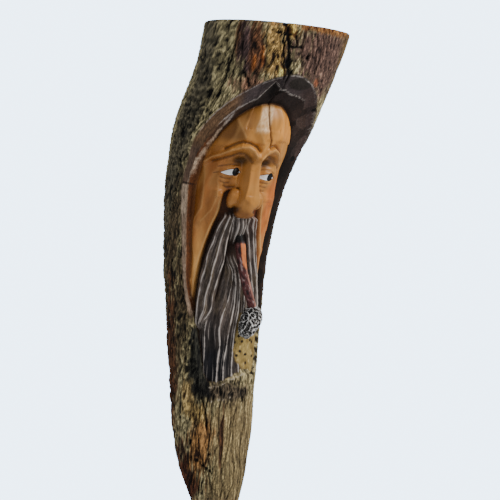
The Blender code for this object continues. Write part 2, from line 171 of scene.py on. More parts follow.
@dataclass(frozen=True)
class Noise:
    """Repeatable natural unevenness, from a square table of random numbers that repeats every size cells."""

    seed: int
    size: int = 64

    def smooth(self, u: Array, v: Array) -> Array:
        """Gradient noise, from -1 to 1: random slopes at whole numbers, blended by a fifth-power curve.

        Args:
            u, v: places, one cell to a unit.

        Returns:
            The noise there, 0 on average.
        """
        turn = np.random.default_rng(self.seed).random((self.size, self.size)) * 2 * math.pi
        i, j = np.floor(u).astype(int), np.floor(v).astype(int)
        fu, fv = u - i, v - j
        wu, wv = (f**3 * (f * (f * 6 - 15) + 10) for f in (fu, fv))
        corner = {}
        for a in (0, 1):
            for b in (0, 1):
                angle = turn[(i + a) % self.size, (j + b) % self.size]
                corner[a, b] = np.cos(angle) * (fu - a) + np.sin(angle) * (fv - b)
        low = corner[0, 0] + (corner[1, 0] - corner[0, 0]) * wu
        high = corner[0, 1] + (corner[1, 1] - corner[0, 1]) * wu
        return 1.4 * (low + (high - low) * wv)

    def layered(self, u: Array, v: Array, layers: int) -> Array:
        """Smooth noise added to itself at twice the detail and half the height.

        Args:
            u, v: places, one cell to a unit.
            layers: how many times it is laid on.

        Returns:
            The sum there, 0 on average.
        """
        total = np.zeros(np.shape(u))
        for layer in range(layers):
            total += Noise(self.seed + layer).smooth(u * 2**layer, v * 2**layer) / 2**layer
        return total

    def ridged(self, u: Array, v: Array, sharpness: float = 2.0) -> Array:
        """Wandering crests: 1 - sharpness * |noise|, so 1 along lines, and no lower than -1 between them."""
        return np.maximum(1 - sharpness * np.abs(self.smooth(u, v)), -1)

    def cells(self, u: Array, v: Array) -> tuple[Array, Array, Array]:
        """Distances to the nearest two of a field of scattered points, one in each unit square.

        Args:
            u, v: places, one cell to a unit.

        Returns:
            (nearest distance, distance to the second, a random number from 0 to 1 that is the cell's own).
        """
        table = np.random.default_rng(self.seed).random((self.size, self.size, 3))
        i, j = np.floor(u).astype(int), np.floor(v).astype(int)
        first, second = np.full(np.shape(u), 9.0), np.full(np.shape(u), 9.0)
        own = np.zeros(np.shape(u))
        for a in (-1, 0, 1):
            for b in (-1, 0, 1):
                spot = table[(i + a) % self.size, (j + b) % self.size]
                distance = np.hypot(i + a + spot[..., 0] - u, j + b + spot[..., 1] - v)
                nearer = distance < first
                second = np.where(nearer, first, np.minimum(second, distance))
                own = np.where(nearer, spot[..., 2], own)
                first = np.where(nearer, distance, first)
        return first, second, own


@dataclass(frozen=True)
class Opening:
    """An outline cut in the log: an arch above a height, and two legs down to a foot.

    The arch is a superellipse, |across|^power + |up|^power = 1, as wide as the legs at its spring.
    """

    spring: float
    top: float
    middle: float
    power: float
    heights: Row
    left: Row
    right: Row
    foot: tuple[Pair, ...]

    def outline(self) -> list[Pair]:
        """The opening's edge.

        Returns:
            Its points, clockwise from the left spring: the arch, the right leg, the foot and the left leg.
        """
        angle = np.linspace(0, math.pi, 41)
        across, up = np.cos(angle), np.sin(angle)
        half = np.where(across > 0, self.left[-1] + self.middle, self.right[-1] - self.middle)
        s = -np.sign(across) * np.abs(across) ** (2 / self.power) * half + self.middle
        z = self.spring + (self.top - self.spring) * up ** (2 / self.power)
        down = np.linspace(self.heights[-1], self.heights[0], 30)[1:]
        points = list(zip(s, z)) + list(zip(curve(self.heights, self.right, down), down))
        points += list(self.foot[::-1])
        return points + list(zip(-curve(self.heights, self.left, down[::-1]), down[::-1]))

    def inside(self, s: Array, z: Array) -> Array:
        """Distance to the outline, positive inside."""
        return inside_distance(s, z, self.outline())


HOOD = Opening(
    spring=45.0,
    top=111.0,
    middle=0.0,
    power=1.62,
    heights=(-160, -137, -115, -94, -76, -50, -14, 5, 34, 45),
    left=(29.5, 33, 38, 45.5, 49.5, 53, 60.5, 65.5, 67, 68),
    right=(37, 45, 49, 51, 53, 56, 60, 63, 64, 64),
    foot=((-24.5, -169), (-13, -170), (1.5, -163), (17, -156), (30, -158)),
)
RECESS = Opening(
    spring=30.0,
    top=85.0,
    middle=-3.0,
    power=2.0,
    heights=(-157, -137, -117, -94, -76, -49.5, -13.5, 13, 30),
    left=(25, 29, 34.5, 41.5, 45, 47.5, 53, 57.3, 57.5),
    right=(34, 42, 46, 47.5, 49, 51, 54, 54.5, 54),
    foot=((-20, -165), (-11, -165), (2, -159), (16, -152), (27, -153)),
)


@dataclass
class LogShape:
    """The plain log: a crooked, tapering round trunk with its back sawn flat along the wall.

    A section is a circle of the height's radius whose front lies at the height's depth from the wall.
    """

    heights: Row = (0, 8, 33, 73, 128, 198, 268, 328, 373, 418, 461)
    depths: Row = (4.5, 8, 16, 26, 36, 45, 58, 77, 93, 105, 113)
    radii: Row = (9.5, 19, 29, 39, 42.5, 45.5, 49, 54.5, 60.5, 61.5, 64.5)
    swings: Row = (36, 32, 28, 21, 14, 7, 0, -1, 5, 15, 22.5)

    def section(self, z: Array) -> tuple[Array, Array, Array]:
        """(depth, radius, sideways swing) at each height."""
        return tuple(curve(self.heights, values, z + HANG_HEIGHT) for values in (self.depths, self.radii, self.swings))

    def corner(self, z: Array) -> Array:
        """Distance round from the front line to the corner where bark meets the sawn back."""
        depth, radius, _ = self.section(z)
        return radius * np.arccos(np.clip(1 - depth / radius, -1, 1))

    def point(self, s: Array, z: Array, inset: Array) -> Array:
        """Points that lie inset below the log's surface, in metres.

        Args:
            s, z: places on the log.
            inset: depth below it.

        Returns:
            Array of shape (..., 3): X is the swing plus out * sin(turn), and Y is how far the middle stands from
            the wall plus out * cos(turn), where turn is s over the radius and out is the radius less the inset.
        """
        depth, radius, swing = self.section(z)
        limit = np.arccos(np.clip(1 - depth / radius, -1, 1))
        turn = np.clip(s / radius, -limit, limit)
        out = radius - inset
        y = -np.maximum(depth - radius + out * np.cos(turn), 0)
        return np.stack([swing + out * np.sin(turn), y, z], -1) * UNIT


@dataclass
class Coat:
    """Three tones of a surface, and the crest field, from 0 to 1, that the shader chooses between them by.

    Towards 0 the hollow's tone shows, above about 0.8 the ridge's, and the middle one between.
    """

    middle: Array
    ridge: Array
    hollow: Array
    crest: Array

    def under(self, other: "Coat", share: Array) -> "Coat":
        """This coat with another laid over it.

        Args:
            other: the coat on top.
            share: how far it covers each place, from 0 to 1.

        Returns:
            The coat with every tone, and the field, blended by the share.
        """
        return Coat(
            blend(self.middle, other.middle, share),
            blend(self.ridge, other.ridge, share),
            blend(self.hollow, other.hollow, share),
            self.crest + (other.crest - self.crest) * share,
        )

    def mark(self, colour: Colour, share: Array) -> "Coat":
        """This coat with all three of its tones blended to one colour by a share."""
        tones = (blend(tone, colour, share) for tone in (self.middle, self.ridge, self.hollow))
        return Coat(*tones, self.crest)

    def dim(self, factor: Colour, share: Array) -> "Coat":
        """This coat with every tone multiplied by a factor, by a share."""
        tones = (blend(tone, tone * np.array(factor), share) for tone in (self.middle, self.ridge, self.hollow))
        return Coat(*tones, self.crest)


@dataclass
class Skin:
    """What the carving says of each place: its depth, its coat and how the shaders treat it."""

    inset: Array
    coat: Coat
    oiled: Array
    barky: Array
    eye_white: Array
    pupil: Array
    strand: Array
    worn: Array


@dataclass(frozen=True)
class FaceTones:
    """The oiled wood's colours from the forehead down, with painted light and shade on the forehead and cheeks, then
    painted shade in hollows and folds and a painted highlight along edges.
    """

    golden: Colour = paint(208, 144, 70)
    # The brown and the temple's tone are partly the wood's own colour and partly painted shade on the left, the bright
    # tone is partly painted light on the right, and the cheek's side tone is painted shade.
    brown: Colour = paint(172, 106, 50)
    temple: Colour = paint(116, 74, 36)
    bright: Colour = paint(240, 162, 74)
    red_brown: Colour = paint(208, 118, 56)
    cheek_shade: Colour = paint(144, 88, 38)
    cheek_foot: Colour = paint(250, 182, 100)
    cloud_dark: Colour = paint(150, 98, 46)
    cloud_pale: Colour = paint(216, 162, 96)
    # A painted highlight for the middle of the forehead.
    painted_highlight: Colour = paint(250, 212, 164)
    # Painted shade: in the face's hollows, under the brows, beside the nose's wings, under the nose, in the nostrils
    # and round the face's edge.
    hollow: Colour = paint(92, 54, 22)
    brow_shade: Colour = paint(74, 50, 22)
    wing_shade: Colour = paint(112, 50, 24)
    nose_shade: Colour = paint(128, 76, 34)
    nostril: Colour = paint(58, 32, 16)
    edge_shade: Colour = paint(84, 46, 20)
    # A painted highlight for knife edges, brows and cheek folds, and painted shade for creases and wrinkles.
    edge: Colour = paint(228, 178, 112)
    fold: Colour = paint(86, 50, 22)
    crack: Colour = paint(84, 34, 16)
    gap_left: Colour = paint(74, 43, 25)
    gap_right: Colour = paint(136, 70, 40)


@dataclass
class Face:
    """The old man's face: forehead, brows, eyes, nose and cheeks, cut with a knife and oiled."""

    heights: Row = (-170, -95, -60, -15, 10, 30, 44, 58, 72, 84, 95)
    depths: Row = (5, 7, 8, 9, 10, 10, 9, 11, 14, 19, 23)
    side_depths: Row = (0, -1, -1.5, -1.5, -1, 1, 3, 5, 6, 6, 6)
    facet_width: float = 15.0
    facet_length: float = 27.0
    facet_radius: float = 46.0
    brow_left: Path = (
        (-52.5, 30.5), (-46.5, 34.5), (-39, 37), (-30, 41.5), (-21, 44.5), (-14.5, 45), (-8, 42), (-4, 38),
    )
    brow_right: Path = ((2, 36), (7, 42), (13, 45), (19.5, 42.5), (24, 38.5), (29, 35), (36, 32))
    brow_height: float = 4.0
    brow_spread: float = 2.7
    crease_left: Path = ((-37, 42.5), (-27.5, 47.8), (-21.5, 49.8), (-14, 49), (-5.5, 46.5), (-1, 43))
    crease_right: Path = ((9, 47.5), (14, 49), (19, 46.8), (25, 43.5), (33, 38.5), (40, 34.5))
    roll_left: Path = ((-46, 31.5), (-37, 34), (-28, 37), (-21.5, 40), (-15, 39.8), (-8.5, 36.5), (-5, 33))
    roll_right: Path = ((5, 34), (9, 37.5), (14.5, 39.5), (22, 37.5), (29.5, 33), (36, 29.5))
    knife_edges: tuple[Path, ...] = (
        (
            (-53.5, 27.5), (-48, 17), (-44.5, 2.5), (-43, -10), (-49, -22), (-48, -39.5),
            (-43.5, -52), (-42, -57), (-45, -75.5),
        ),
        ((-34.5, 18), (-31, 8), (-29.5, 0.5), (-33, -11.5), (-41.5, -22)),
        ((-16, 84), (-14, 75.5), (-12, 68), (-8.5, 60.5), (-1, 50)),
        ((8, 86), (14, 74.5), (19, 63), (22, 51.5)),
        ((-37, 69.5), (-29, 62.5), (-20.5, 53.5)),
        ((-16, 21), (-14.5, 15), (-11.5, 10)),
        ((-3.5, 36.5), (1.5, 43.5), (6.5, 52)),
        ((44, 4), (43, -20), (44, -45)),
    )
    nose_heights: Row = (-10, -4, 3, 10, 20, 28, 34, 40)
    nose_rises: Row = (9.5, 12.8, 12.7, 11.2, 8, 5, 2.8, 0)
    nose_tops: Row = (6.5, 7.5, 7, 5.6, 4.8, 4.8, 5.5, 7)
    nose_feet: Row = (10, 11, 11.8, 12, 12, 11.5, 12, 13)
    nose_shifts: Row = (1.5, 1.5, 1.5, 1.2, 0.5, 0, 0, 0)
    nose_shapes: tuple[tuple[Pair, Pair, float, float, float, float], ...] = (
        ((1.5, -4.5), (10.8, 12), 13, 4.0, 3.0, 0.36),
        ((-13, 0.5), (7.0, 9), 8, 2.5, 2.2, 0.45),
        ((13.5, 0.0), (7.5, 9), 7, 2.5, 2.2, 0.45),
    )
    hollows: tuple[tuple[float, Pair, Pair], ...] = (
        (4.6, (17, 33.5), (11, 4.5)),
        (3.0, (13, 24), (4, 9)),
        (-2.6, (23.5, 22.5), (12, 6)),
        (-1.5, (46, -25), (6, 40)),
        (2.0, (26, 9), (10, 4)),
    )
    wrinkle_lines: tuple[tuple[Path, float, float], ...] = (
        (((-33, 18.2), (-27, 17.2), (-21.5, 17)), 0.7, 0.8),
        (((-32, 14.5), (-27, 13.2), (-22, 13.5)), 0.7, 0.9),
        (((-27, 11), (-23.5, 9.6), (-15, 10.4)), 0.8, 0.9),
        (((-38, 27), (-32, 28.3), (-25, 29.7), (-17, 29.4)), 0.7, 0.9),
        (((-41, 21), (-35, 22.3)), 0.7, 0.6),
        (((11, 17), (19, 15.8), (26, 15.6)), 0.7, 0.7),
        (((12, 13.5), (20, 12.4), (27, 12)), 0.7, 0.7),
        (((13, 9.8), (20, 8.7), (26, 8.8)), 0.7, 0.6),
        (((10, 26.5), (17, 27.8), (25, 27), (31, 25)), 0.7, 0.8),
    )
    eye_height: float = 23.0
    eye_opening: float = 2.6
    pupil_radius: float = 3.9
    crack: Path = ((-7.5, 92), (-6.5, 83.5), (-4.5, 76), (-1, 67), (3, 60), (6.5, 53), (8.5, 46))
    cheek_ridge: Path = (
        (-75.5, -45), (-57, -42), (-52, -43.5), (-39.5, -48), (-22, -49), (-10, -43), (2.5, -44.5),
        (17, -48), (27.5, -53.5),
    )
    tones: FaceTones = FaceTones()

    def nose_rise(self, s: Array, z: Array) -> Array:
        """How far the nose stands out: the greatest of a flat-topped wedge, a blunt tip and two round wings.

        The wedge's middle moves a little round towards the tip. Tip and wings are
        height * (1 - |across|^p - |up|^q)^r, with across and up in their own radii. One flat cut takes the tip's
        lower left away.

        Args:
            s, z: places on the log.

        Returns:
            The rise in mm, 0 away from the nose.
        """
        side = np.abs(s - curve(self.nose_heights, self.nose_shifts, z))
        rise, top, foot = (curve(self.nose_heights, v, z) for v in (self.nose_rises, self.nose_tops, self.nose_feet))
        ridge = rise * (1 - held((side - top) / (foot - top))) * (z > -8)
        for place, radii, height, p, q, r in self.nose_shapes:
            reach = 1 - np.abs((s - place[0]) / radii[0]) ** p - np.abs((z - place[1]) / radii[1]) ** q
            ridge = np.maximum(ridge, height * held(reach) ** r)
        under = 13.0 - 0.5 * np.maximum(-0.55 * (s - 1.5) - 0.85 * (z + 3.5), 0)
        return np.where(np.abs(s - 1.5) < 11, np.minimum(ridge, np.maximum(under, 0)), ridge)

    def ground(self, s: Array, z: Array) -> Array:
        """The face's broad form: a depth by height, a fall towards the sides and a rounded forehead."""
        depth = curve(self.heights, self.depths, z) + curve(self.heights, self.side_depths, z) * (s / 60) ** 2
        return depth - 3.0 * mound(s, z, (0, 64), (34, 20)) - 2.5 * mound(np.abs(s), z, (36, 4), (14, 14))

    def faceted(self, s: Array, z: Array) -> Array:
        """The broad form as knife cuts leave it, the deepest of the flat cuts that touch it near each place.

        A flat that touches the round form at a cell's middle lies (s - middle)^2 / (2 * radius) outside it.

        Args:
            s, z: places on the log.

        Returns:
            The depth in mm, held close to the smooth form's.
        """
        size_s, size_z = self.facet_width, self.facet_length
        cells = 64
        table = np.random.default_rng(17).random((cells, cells, 4))
        i, j = np.floor(s / size_s).astype(int), np.floor(z / size_z).astype(int)
        best = np.full(np.shape(s), -1e9)
        for a in (-1, 0, 1):
            for b in (-1, 0, 1):
                spot = table[(i + a) % cells, (j + b) % cells]
                cs, cz = (i + a + 0.2 + 0.6 * spot[..., 0]) * size_s, (j + b + 0.2 + 0.6 * spot[..., 1]) * size_z
                level = self.ground(cs, cz)
                slope_s = (self.ground(cs + 1, cz) - self.ground(cs - 1, cz)) / 2 + 0.09 * (spot[..., 2] - 0.5)
                slope_z = (self.ground(cs, cz + 1) - self.ground(cs, cz - 1)) / 2 + 0.06 * (spot[..., 3] - 0.5)
                near = (np.abs(cs - s) < 1.3 * size_s) & (np.abs(cz - z) < 1.3 * size_z)
                flat = level + slope_s * (s - cs) + slope_z * (z - cz) - (s - cs) ** 2 / (2 * self.facet_radius)
                best = np.maximum(best, np.where(near, flat, -1e9))
        smooth = self.ground(s, z)
        return smooth + np.clip(best - smooth, -1.3, 0.4)

    def eye(self, s: Array, z: Array, mirrored: bool) -> tuple[Array, Array]:
        """One eye; both look to the viewer's right.

        The white is a wedge that opens towards the pupil, half its height a sine of a power of the way along.

        Args:
            s, z: places on the log.
            mirrored: the eye on the viewer's right.

        Returns:
            (distance inside the white, distance inside the pupil), in mm.
        """
        low, high = (9.5, 32.0) if mirrored else (-34.0, -12.5)
        height = self.eye_height - (1.8 if mirrored else 0.0)
        along = held((s - low) / (high - low))
        beyond = np.maximum(low - s, 0) + np.maximum(s - high, 0)
        half = self.eye_opening * np.sin(math.pi * along**1.25) ** 0.9 - beyond
        middle = height + (0.4 if mirrored else 1.8) * (along - 0.6)
        pupil_s = 25.8 if mirrored else -17.8
        pupil = self.pupil_radius - np.hypot((s - pupil_s) * (0.85 if mirrored else 1.0), (z - height - 0.5) * 1.04)
        return half - np.abs(z - middle), pupil

    def wrinkles(self, s: Array, z: Array) -> Array:
        """Depth of the fine knife lines: crow's feet, lines under the eyes and the lids' edges."""
        return sum(depth * line(s, z, path, width) for path, depth, width in self.wrinkle_lines)

    def depth(self, s: Array, z: Array) -> Array:
        """The whole face, without the crack: the faceted form, its knife edges, brows, eyes, wrinkles and nose.

        Args:
            s, z: places on the log.

        Returns:
            The depth in mm below the plain log.
        """
        depth = self.faceted(s, z)
        for path in self.knife_edges:
            depth = depth - 1.2 * held(1 - path_distance(s, z, path) / 6.0)
        taper = step(44, 24, s)
        for ridge, crease, roll in (
            (self.brow_left, self.crease_left, self.roll_left),
            (self.brow_right, self.crease_right, self.roll_right),
        ):
            away = path_distance(s, z, ridge)
            sharp, broad = (np.exp(-((away / spread) ** 2)) for spread in (self.brow_spread, 7))
            depth = depth - (self.brow_height * sharp + 1.6 * broad) * taper
            depth = depth + (2.7 * line(s, z, crease, 1.35) + 2.1 * line(s, z, roll, 1.35)) * taper
        side = np.abs(s)
        for height, place, radii in self.hollows:
            depth = depth + height * mound(side, z, place, radii)
        depth = depth + self.wrinkles(s, z)
        for mirrored in (False, True):
            white, pupil = self.eye(s, z, mirrored)
            opened = np.maximum(white, pupil)
            depth = depth + 0.7 * step(-0.5, 0.5, opened) - 0.6 * np.exp(-(((opened + 1.2) / 0.8) ** 2))
        nostril = mound(side, z, (8.5, -9.5), (3.2, 3.2)) + 0.6 * mound(side, z, (11.5, -7.5), (2.5, 3))
        return depth - self.nose_rise(s, z) + 4.0 * nostril

    def colour(self, s: Array, z: Array) -> Array:
        """Oiled wood: golden on the forehead, brown on the left cheek and red-brown on the right one. The brown on the
        left and the darker left forehead are partly the wood's own colour and partly painted shade, the lighter right
        forehead is partly painted light, the cheek's outer facet is painted shade, and the middle of the forehead has a
        painted highlight.

        Args:
            s, z: places on the log.

        Returns:
            The wood's colour there, of shape (n, 3), before the painted shade in hollows and the painted highlight on
            edges are laid on.
        """
        tones = self.tones
        # The brown on the left and the darker left forehead are partly the wood's own colour and partly painted shade
        # of the side away from the light; the bright tone on the right of the forehead is partly painted light.
        base = painted(
            np.tile(tones.golden, (len(s), 1)),
            (tones.brown, step(20, -50, s) * step(62, 26, z)),
            (tones.temple, step(-8, -32, s) * step(46, 54, z) * step(92, 82, z) * 0.85),
            (tones.bright, step(8, 20, s) * step(50, 58, z)),
            (tones.red_brown, step(22, 38, s) * step(34, 10, z)),
        )
        ridge_z, ridge_s = zip(*self.cheek_ridge)
        outside = np.interp(z, ridge_z, ridge_s)
        # Painted shade on the cheek's outer facet, beyond its ridge.
        base = blend(base, tones.cheek_shade, step(0.6, -0.6, s - outside) * step(30, 24, z) * 0.7)
        base = blend(base, tones.cheek_foot, mound(s, z, (-40, -64), (5, 34)))
        tone = Noise(21).layered(s / 12, z / 30, 3)
        base = blend(base, tones.cloud_dark, held(tone) * 0.45)
        base = blend(base, tones.cloud_pale, held(-tone) * 0.45)
        # A painted highlight down the middle of the forehead, broken into flecks.
        painted_highlight = step(8.5, 5.5, np.abs(s + 6.5)) * step(57, 62, z) * step(86, 80, z)
        flecks = 0.65 + 0.6 * Noise(22).layered(s / 2.5, z / 3, 2)
        return blend(base, tones.painted_highlight, painted_highlight * np.clip(flecks, 0.2, 1))


@dataclass
class Locks:
    """What the hair is at each place: its depth, its strands' phase and spacing, and how worn and how open it is."""

    depth: Array
    phase: Array
    spacing: Array
    worn: Array
    gap: Array


@dataclass(frozen=True)
class HairTones:
    """The stain's colours on the beard and the moustache, with painted shade for the grooves between locks and for
    where the hair lies deep.
    """

    stain: Colour = paint(92, 80, 73)
    brown: Colour = paint(104, 88, 66)
    dark: Colour = paint(48, 42, 42)
    # Painted shade in the grooves between the locks and deep in the recess.
    gap: Colour = paint(46, 32, 25)
    recess_shade: Colour = paint(44, 29, 21)
    foot: Colour = paint(20, 20, 25)


@dataclass
class Hair:
    """The moustache's two drooping halves, the tuft under the nose and the long beard, stained dark."""

    lobe_heights: Row = (-121, -113, -101, -87, -73, -56, -43.5, -32, -24, -15)
    left_outer: Row = (33, 37, 39, 39, 37.5, 34.5, 31.5, 28, 24.5, 20)
    left_inner: Row = (32, 27, 19.5, 16.5, 12.5, 8.5, 7, 6.5, 6.5, 6)
    right_outer: Row = (40, 42.5, 44, 44, 43, 40, 36.5, 31, 26.5, 21)
    right_inner: Row = (39, 34, 31, 29, 25, 20, 16.5, 12.5, 9.5, 8)
    lobe_crests: Row = (-0.14, 0.14, 0.46, 0.80, 1.14)
    lobe_height: float = 7.0
    beard_heights: Row = (-170, -157, -137, -120, -104, -90, -72, -56, -45)
    beard_left: Row = (-22, -26, -29.5, -33, -24, -17, -12, -8, -6)
    beard_right: Row = (22, 23, 25, 26, 27, 26, 21, 16, 13)
    beard_height: float = 5.2
    crest_heights: Row = (-165, -145, -130, -117, -104, -90, -76, -64, -56, -45)
    beard_crests: tuple[Row, ...] = (
        (-25, -25.5, -26, -26, -24, -19, -14, -11, -9, -8),
        (-12, -12, -11, -12, -10, -4.5, -1.5, -0.5, -5, -6),
        (-6, -6, -4, -2, 0, 2.5, 3.5, 2, -1, -2),
        (3, 2, 2.5, 4, 6, 8, 8.5, 7, 4, 3),
        (11, 10, 10, 11, 13, 15, 15, 13, 9, 8),
        (20, 20, 19, 20, 22, 24, 22, 18, 14, 12),
        (28, 28, 27, 28, 30, 31, 28, 24, 19, 16),
    )
    strand_height: float = 2.4
    hair_height: float = 0.35
    tuft_height: float = 9.5
    tuft_spacing: float = 4.6
    ground_heights: Row = (-170, -150, -100, -60, -45, -28, -15)
    ground_depths: Row = (8, 8.5, 10.5, 14, 15.5, 16, 13)
    tones: HairTones = HairTones()

    @staticmethod
    def crest(phase: Array) -> Array:
        """Sharp crests at whole phases with rounded flutes between: 1 - |sin(pi * phase)|."""
        return 1 - np.abs(np.sin(math.pi * phase))

    @staticmethod
    def lock(s: Array, left: Array, right: Array) -> tuple[Array, Array]:
        """(rounded height from 0 to 1, place across from 0 to 1) of a lock between two edges."""
        across = (s - left) / np.maximum(right - left, 1.0)
        return held(1 - (2 * across - 1) ** 2) ** 0.4, across

    def beard_phase(self, s: Array, z: Array) -> tuple[Array, Array]:
        """How far across the beard's strands each place is.

        Args:
            s, z: places on the log.

        Returns:
            (phase, spacing in mm): one is added to the phase for each crest passed, in proportion between two crests.
        """
        places = [curve(self.crest_heights, crest, z) for crest in self.beard_crests]
        s = s + 0.5 * Noise(32).smooth(s / 20, z / 18)
        phase, spacing = np.zeros(np.shape(s)), np.full(np.shape(s), 8.0)
        for low, high in zip(places[:-1], places[1:]):
            share = (s - low) / (high - low)
            phase += held(share)
            spacing = np.where((share >= 0) & (share < 1), high - low, spacing)
        outside = np.minimum(s - places[0], 0) + np.maximum(s - places[-1], 0)
        return phase + outside / 7.0, spacing

    def locks(self, s: Array, z: Array) -> Locks:
        """Works out the hair: its ground, the beard, each half of the moustache and the tuft; the shallowest wins.

        Args:
            s, z: places on the log.

        Returns:
            The locks there. Each lock's depth is the ground less its dome, its crests and its single hairs.
        """
        ground = curve(self.ground_heights, self.ground_depths, z)
        left, right = curve(self.beard_heights, self.beard_left, z), curve(self.beard_heights, self.beard_right, z)
        dome, _ = self.lock(s, left, right)
        phase, spacing = self.beard_phase(s, z)
        length = 1 - step(-62, -48, z)
        edge = step(0.1, 0.6, dome)
        crests = self.crest(phase)
        hairs = Noise(34).smooth(phase * 4, z / 30)
        rise = self.beard_height * dome + (self.strand_height * crests + self.hair_height * hairs) * edge
        depth = ground - rise * length
        found = Locks(depth, phase, spacing, edge * length, 1 - edge * length)
        ends = step(-122, -112, z) * (1 - step(-17, -12, z))
        for sign, inner_edge, outer_edge in (
            (-1, self.left_inner, self.left_outer),
            (1, self.right_inner, self.right_outer),
        ):
            low, high = curve(self.lobe_heights, inner_edge, z), curve(self.lobe_heights, outer_edge, z)
            dome, across = self.lock(sign * s, low, high)
            bent = across + 0.05 * Noise(35).smooth(s / 12, z / 16)
            phase = 10 + np.interp(bent, self.lobe_crests, range(len(self.lobe_crests)))
            edge = step(0.1, 0.75, dome)
            hairs = Noise(36).smooth(phase * 4, z / 30)
            rise = self.lobe_height * dome + (self.strand_height * self.crest(phase) + self.hair_height * hairs) * edge
            self.lay(found, ground - rise * ends, phase, (high - low) / 3, edge * ends)
        phase = 20 + (s + 11 + 0.1 * (z + 20)) / self.tuft_spacing
        ends_at = z + 2.2 * Noise(37).smooth(np.round(phase) * 0.7, 0 * z)
        tuft = mound(s, ends_at, (2.5, -25), (10, 11.5))
        edge = step(0.12, 0.4, tuft)
        depth = ground + 0.5 - self.tuft_height * tuft - 1.6 * edge * self.crest(phase)
        self.lay(found, depth, phase, self.tuft_spacing + 0 * s, edge)
        return found

    @staticmethod
    def lay(found: Locks, depth: Array, phase: Array, spacing: Array, worn: Array) -> None:
        """Lays a lock over what is found so far, wherever it is the shallower.

        Args:
            found: the locks so far, changed in place.
            depth, phase, spacing, worn: the lock's own.
        """
        over = depth < found.depth
        found.phase = np.where(over, phase, found.phase)
        found.spacing = np.where(over, spacing, found.spacing)
        found.worn = np.where(over, worn, found.worn)
        found.gap = np.where(over, 1 - worn, found.gap)
        found.depth = np.minimum(found.depth, depth)

    def colour(self, s: Array, z: Array, locks: Locks) -> Array:
        """Dark grey-brown stain, browner in the middle and black towards the beard's left foot, with painted shade in
        the gaps between locks and where the hair lies deep.

        Args:
            s, z: places on the log.
            locks: the hair there.

        Returns:
            The stain's colour, of shape (n, 3).
        """
        tones = self.tones
        base = np.tile(tones.stain, (len(s), 1))
        cloud = Noise(33).layered(s / 6, z / 26, 3)
        base = blend(base, tones.brown, held(cloud) * 0.8)
        base = blend(base, tones.dark, held(-cloud) * 0.8)
        flute = np.abs(np.sin(math.pi * locks.phase))
        base = base * (1.12 - 0.42 * flute**2)[:, None]
        # Painted shade in the grooves between the locks and where the hair lies deep in the recess.
        base = blend(base, tones.gap, locks.gap)
        base = blend(base, tones.recess_shade, step(12.5, 15.5, locks.depth))
        base = base * (1 - 0.30 * step(-105, -140, z))[:, None]
        foot = step(-112, -142, z) * step(12, -6, s)
        blackened = np.maximum(foot * 0.95, mound(s, z, (-21, -136), (8, 26)) * 0.85)
        return blend(base, tones.foot, blackened)


class Weave(Enum):
    """The ways in which the bark's ridges run."""

    NET = "net"
    LONG = "long"
    LOOPS = "loops"
    DASHES = "dashes"
    GRAIN = "grain"


@dataclass(frozen=True)
class BarkTone:
    """One kind of bark: where it lies, how far it reaches, its colours and how its ridges run."""

    place: Pair
    radii: Pair
    ridge: Colour
    hollow: Colour
    weave: Weave


OLIVE = BarkTone((0, 0), (0, 0), paint(216, 198, 145), paint(34, 29, 20), Weave.NET)
BARK_TONES = (
    BarkTone((-86, 20), (16, 200), paint(132, 121, 94), paint(20, 17, 12), Weave.NET),
    BarkTone((-61, 138), (5, 20), paint(116, 80, 54), paint(28, 18, 13), Weave.LONG),
    BarkTone((-51, 130), (8, 26), paint(112, 86, 82), paint(23, 15, 14), Weave.LONG),
    BarkTone((-41, 128), (7, 28), paint(144, 96, 66), paint(27, 17, 12), Weave.LONG),
    BarkTone((-36.5, 98), (16, 8), paint(200, 149, 117), paint(40, 26, 19), Weave.LOOPS),
    BarkTone((-26, 131), (10, 28), paint(248, 200, 120), paint(42, 26, 15), Weave.LOOPS),
    BarkTone((-35.5, 124), (1.6, 9), paint(248, 155, 80), paint(110, 56, 28), Weave.LONG),
    BarkTone((-40.5, 116), (1.5, 6), paint(248, 150, 75), paint(104, 52, 26), Weave.LONG),
    BarkTone((26, 127), (38, 30), paint(153, 118, 102), paint(46, 30, 25), Weave.DASHES),
    BarkTone((26, 151.5), (64, 3.4), paint(208, 149, 84), paint(96, 54, 26), Weave.DASHES),
    BarkTone((58, 128), (8, 26), paint(163, 126, 78), paint(58, 38, 24), Weave.DASHES),
    BarkTone((-14.5, 111), (3.4, 6), paint(248, 234, 142), paint(130, 96, 50), Weave.LOOPS),
    BarkTone((-18, 147), (7, 6), paint(248, 210, 115), paint(100, 64, 30), Weave.LOOPS),
    BarkTone((23.5, 106), (2.8, 3.6), paint(184, 114, 78), paint(110, 60, 38), Weave.DASHES),
    BarkTone((-66, -40), (10, 70), paint(126, 106, 76), paint(22, 17, 12), Weave.LONG),
    BarkTone((78, 60), (24, 70), paint(142, 127, 106), paint(34, 28, 22), Weave.NET),
    BarkTone((12, -214), (44, 40), paint(208, 182, 128), paint(70, 54, 34), Weave.GRAIN),
    BarkTone((16, -280), (36, 66), paint(184, 161, 112), paint(60, 46, 28), Weave.GRAIN),
    BarkTone((-62, -170), (12, 96), paint(120, 78, 50), paint(22, 12, 8), Weave.LONG),
    BarkTone((-37, -272), (16, 52), paint(112, 66, 44), paint(20, 11, 8), Weave.LONG),
    BarkTone((-24, -224), (11, 30), paint(204, 150, 90), paint(46, 25, 12), Weave.LONG),
    BarkTone((-4.5, -214), (2.0, 26), paint(119, 78, 49), paint(40, 24, 14), Weave.GRAIN),
    BarkTone((-39, -178), (6, 16), paint(236, 200, 130), paint(64, 46, 26), Weave.LOOPS),
    BarkTone((-30, -195), (10, 9), paint(222, 186, 116), paint(62, 45, 25), Weave.LOOPS),
    BarkTone((-2, -174), (26, 8), paint(137, 120, 93), paint(26, 21, 16), Weave.LOOPS),
    BarkTone((-47, -60), (10, 90), paint(112, 94, 66), paint(22, 17, 11), Weave.NET),
)


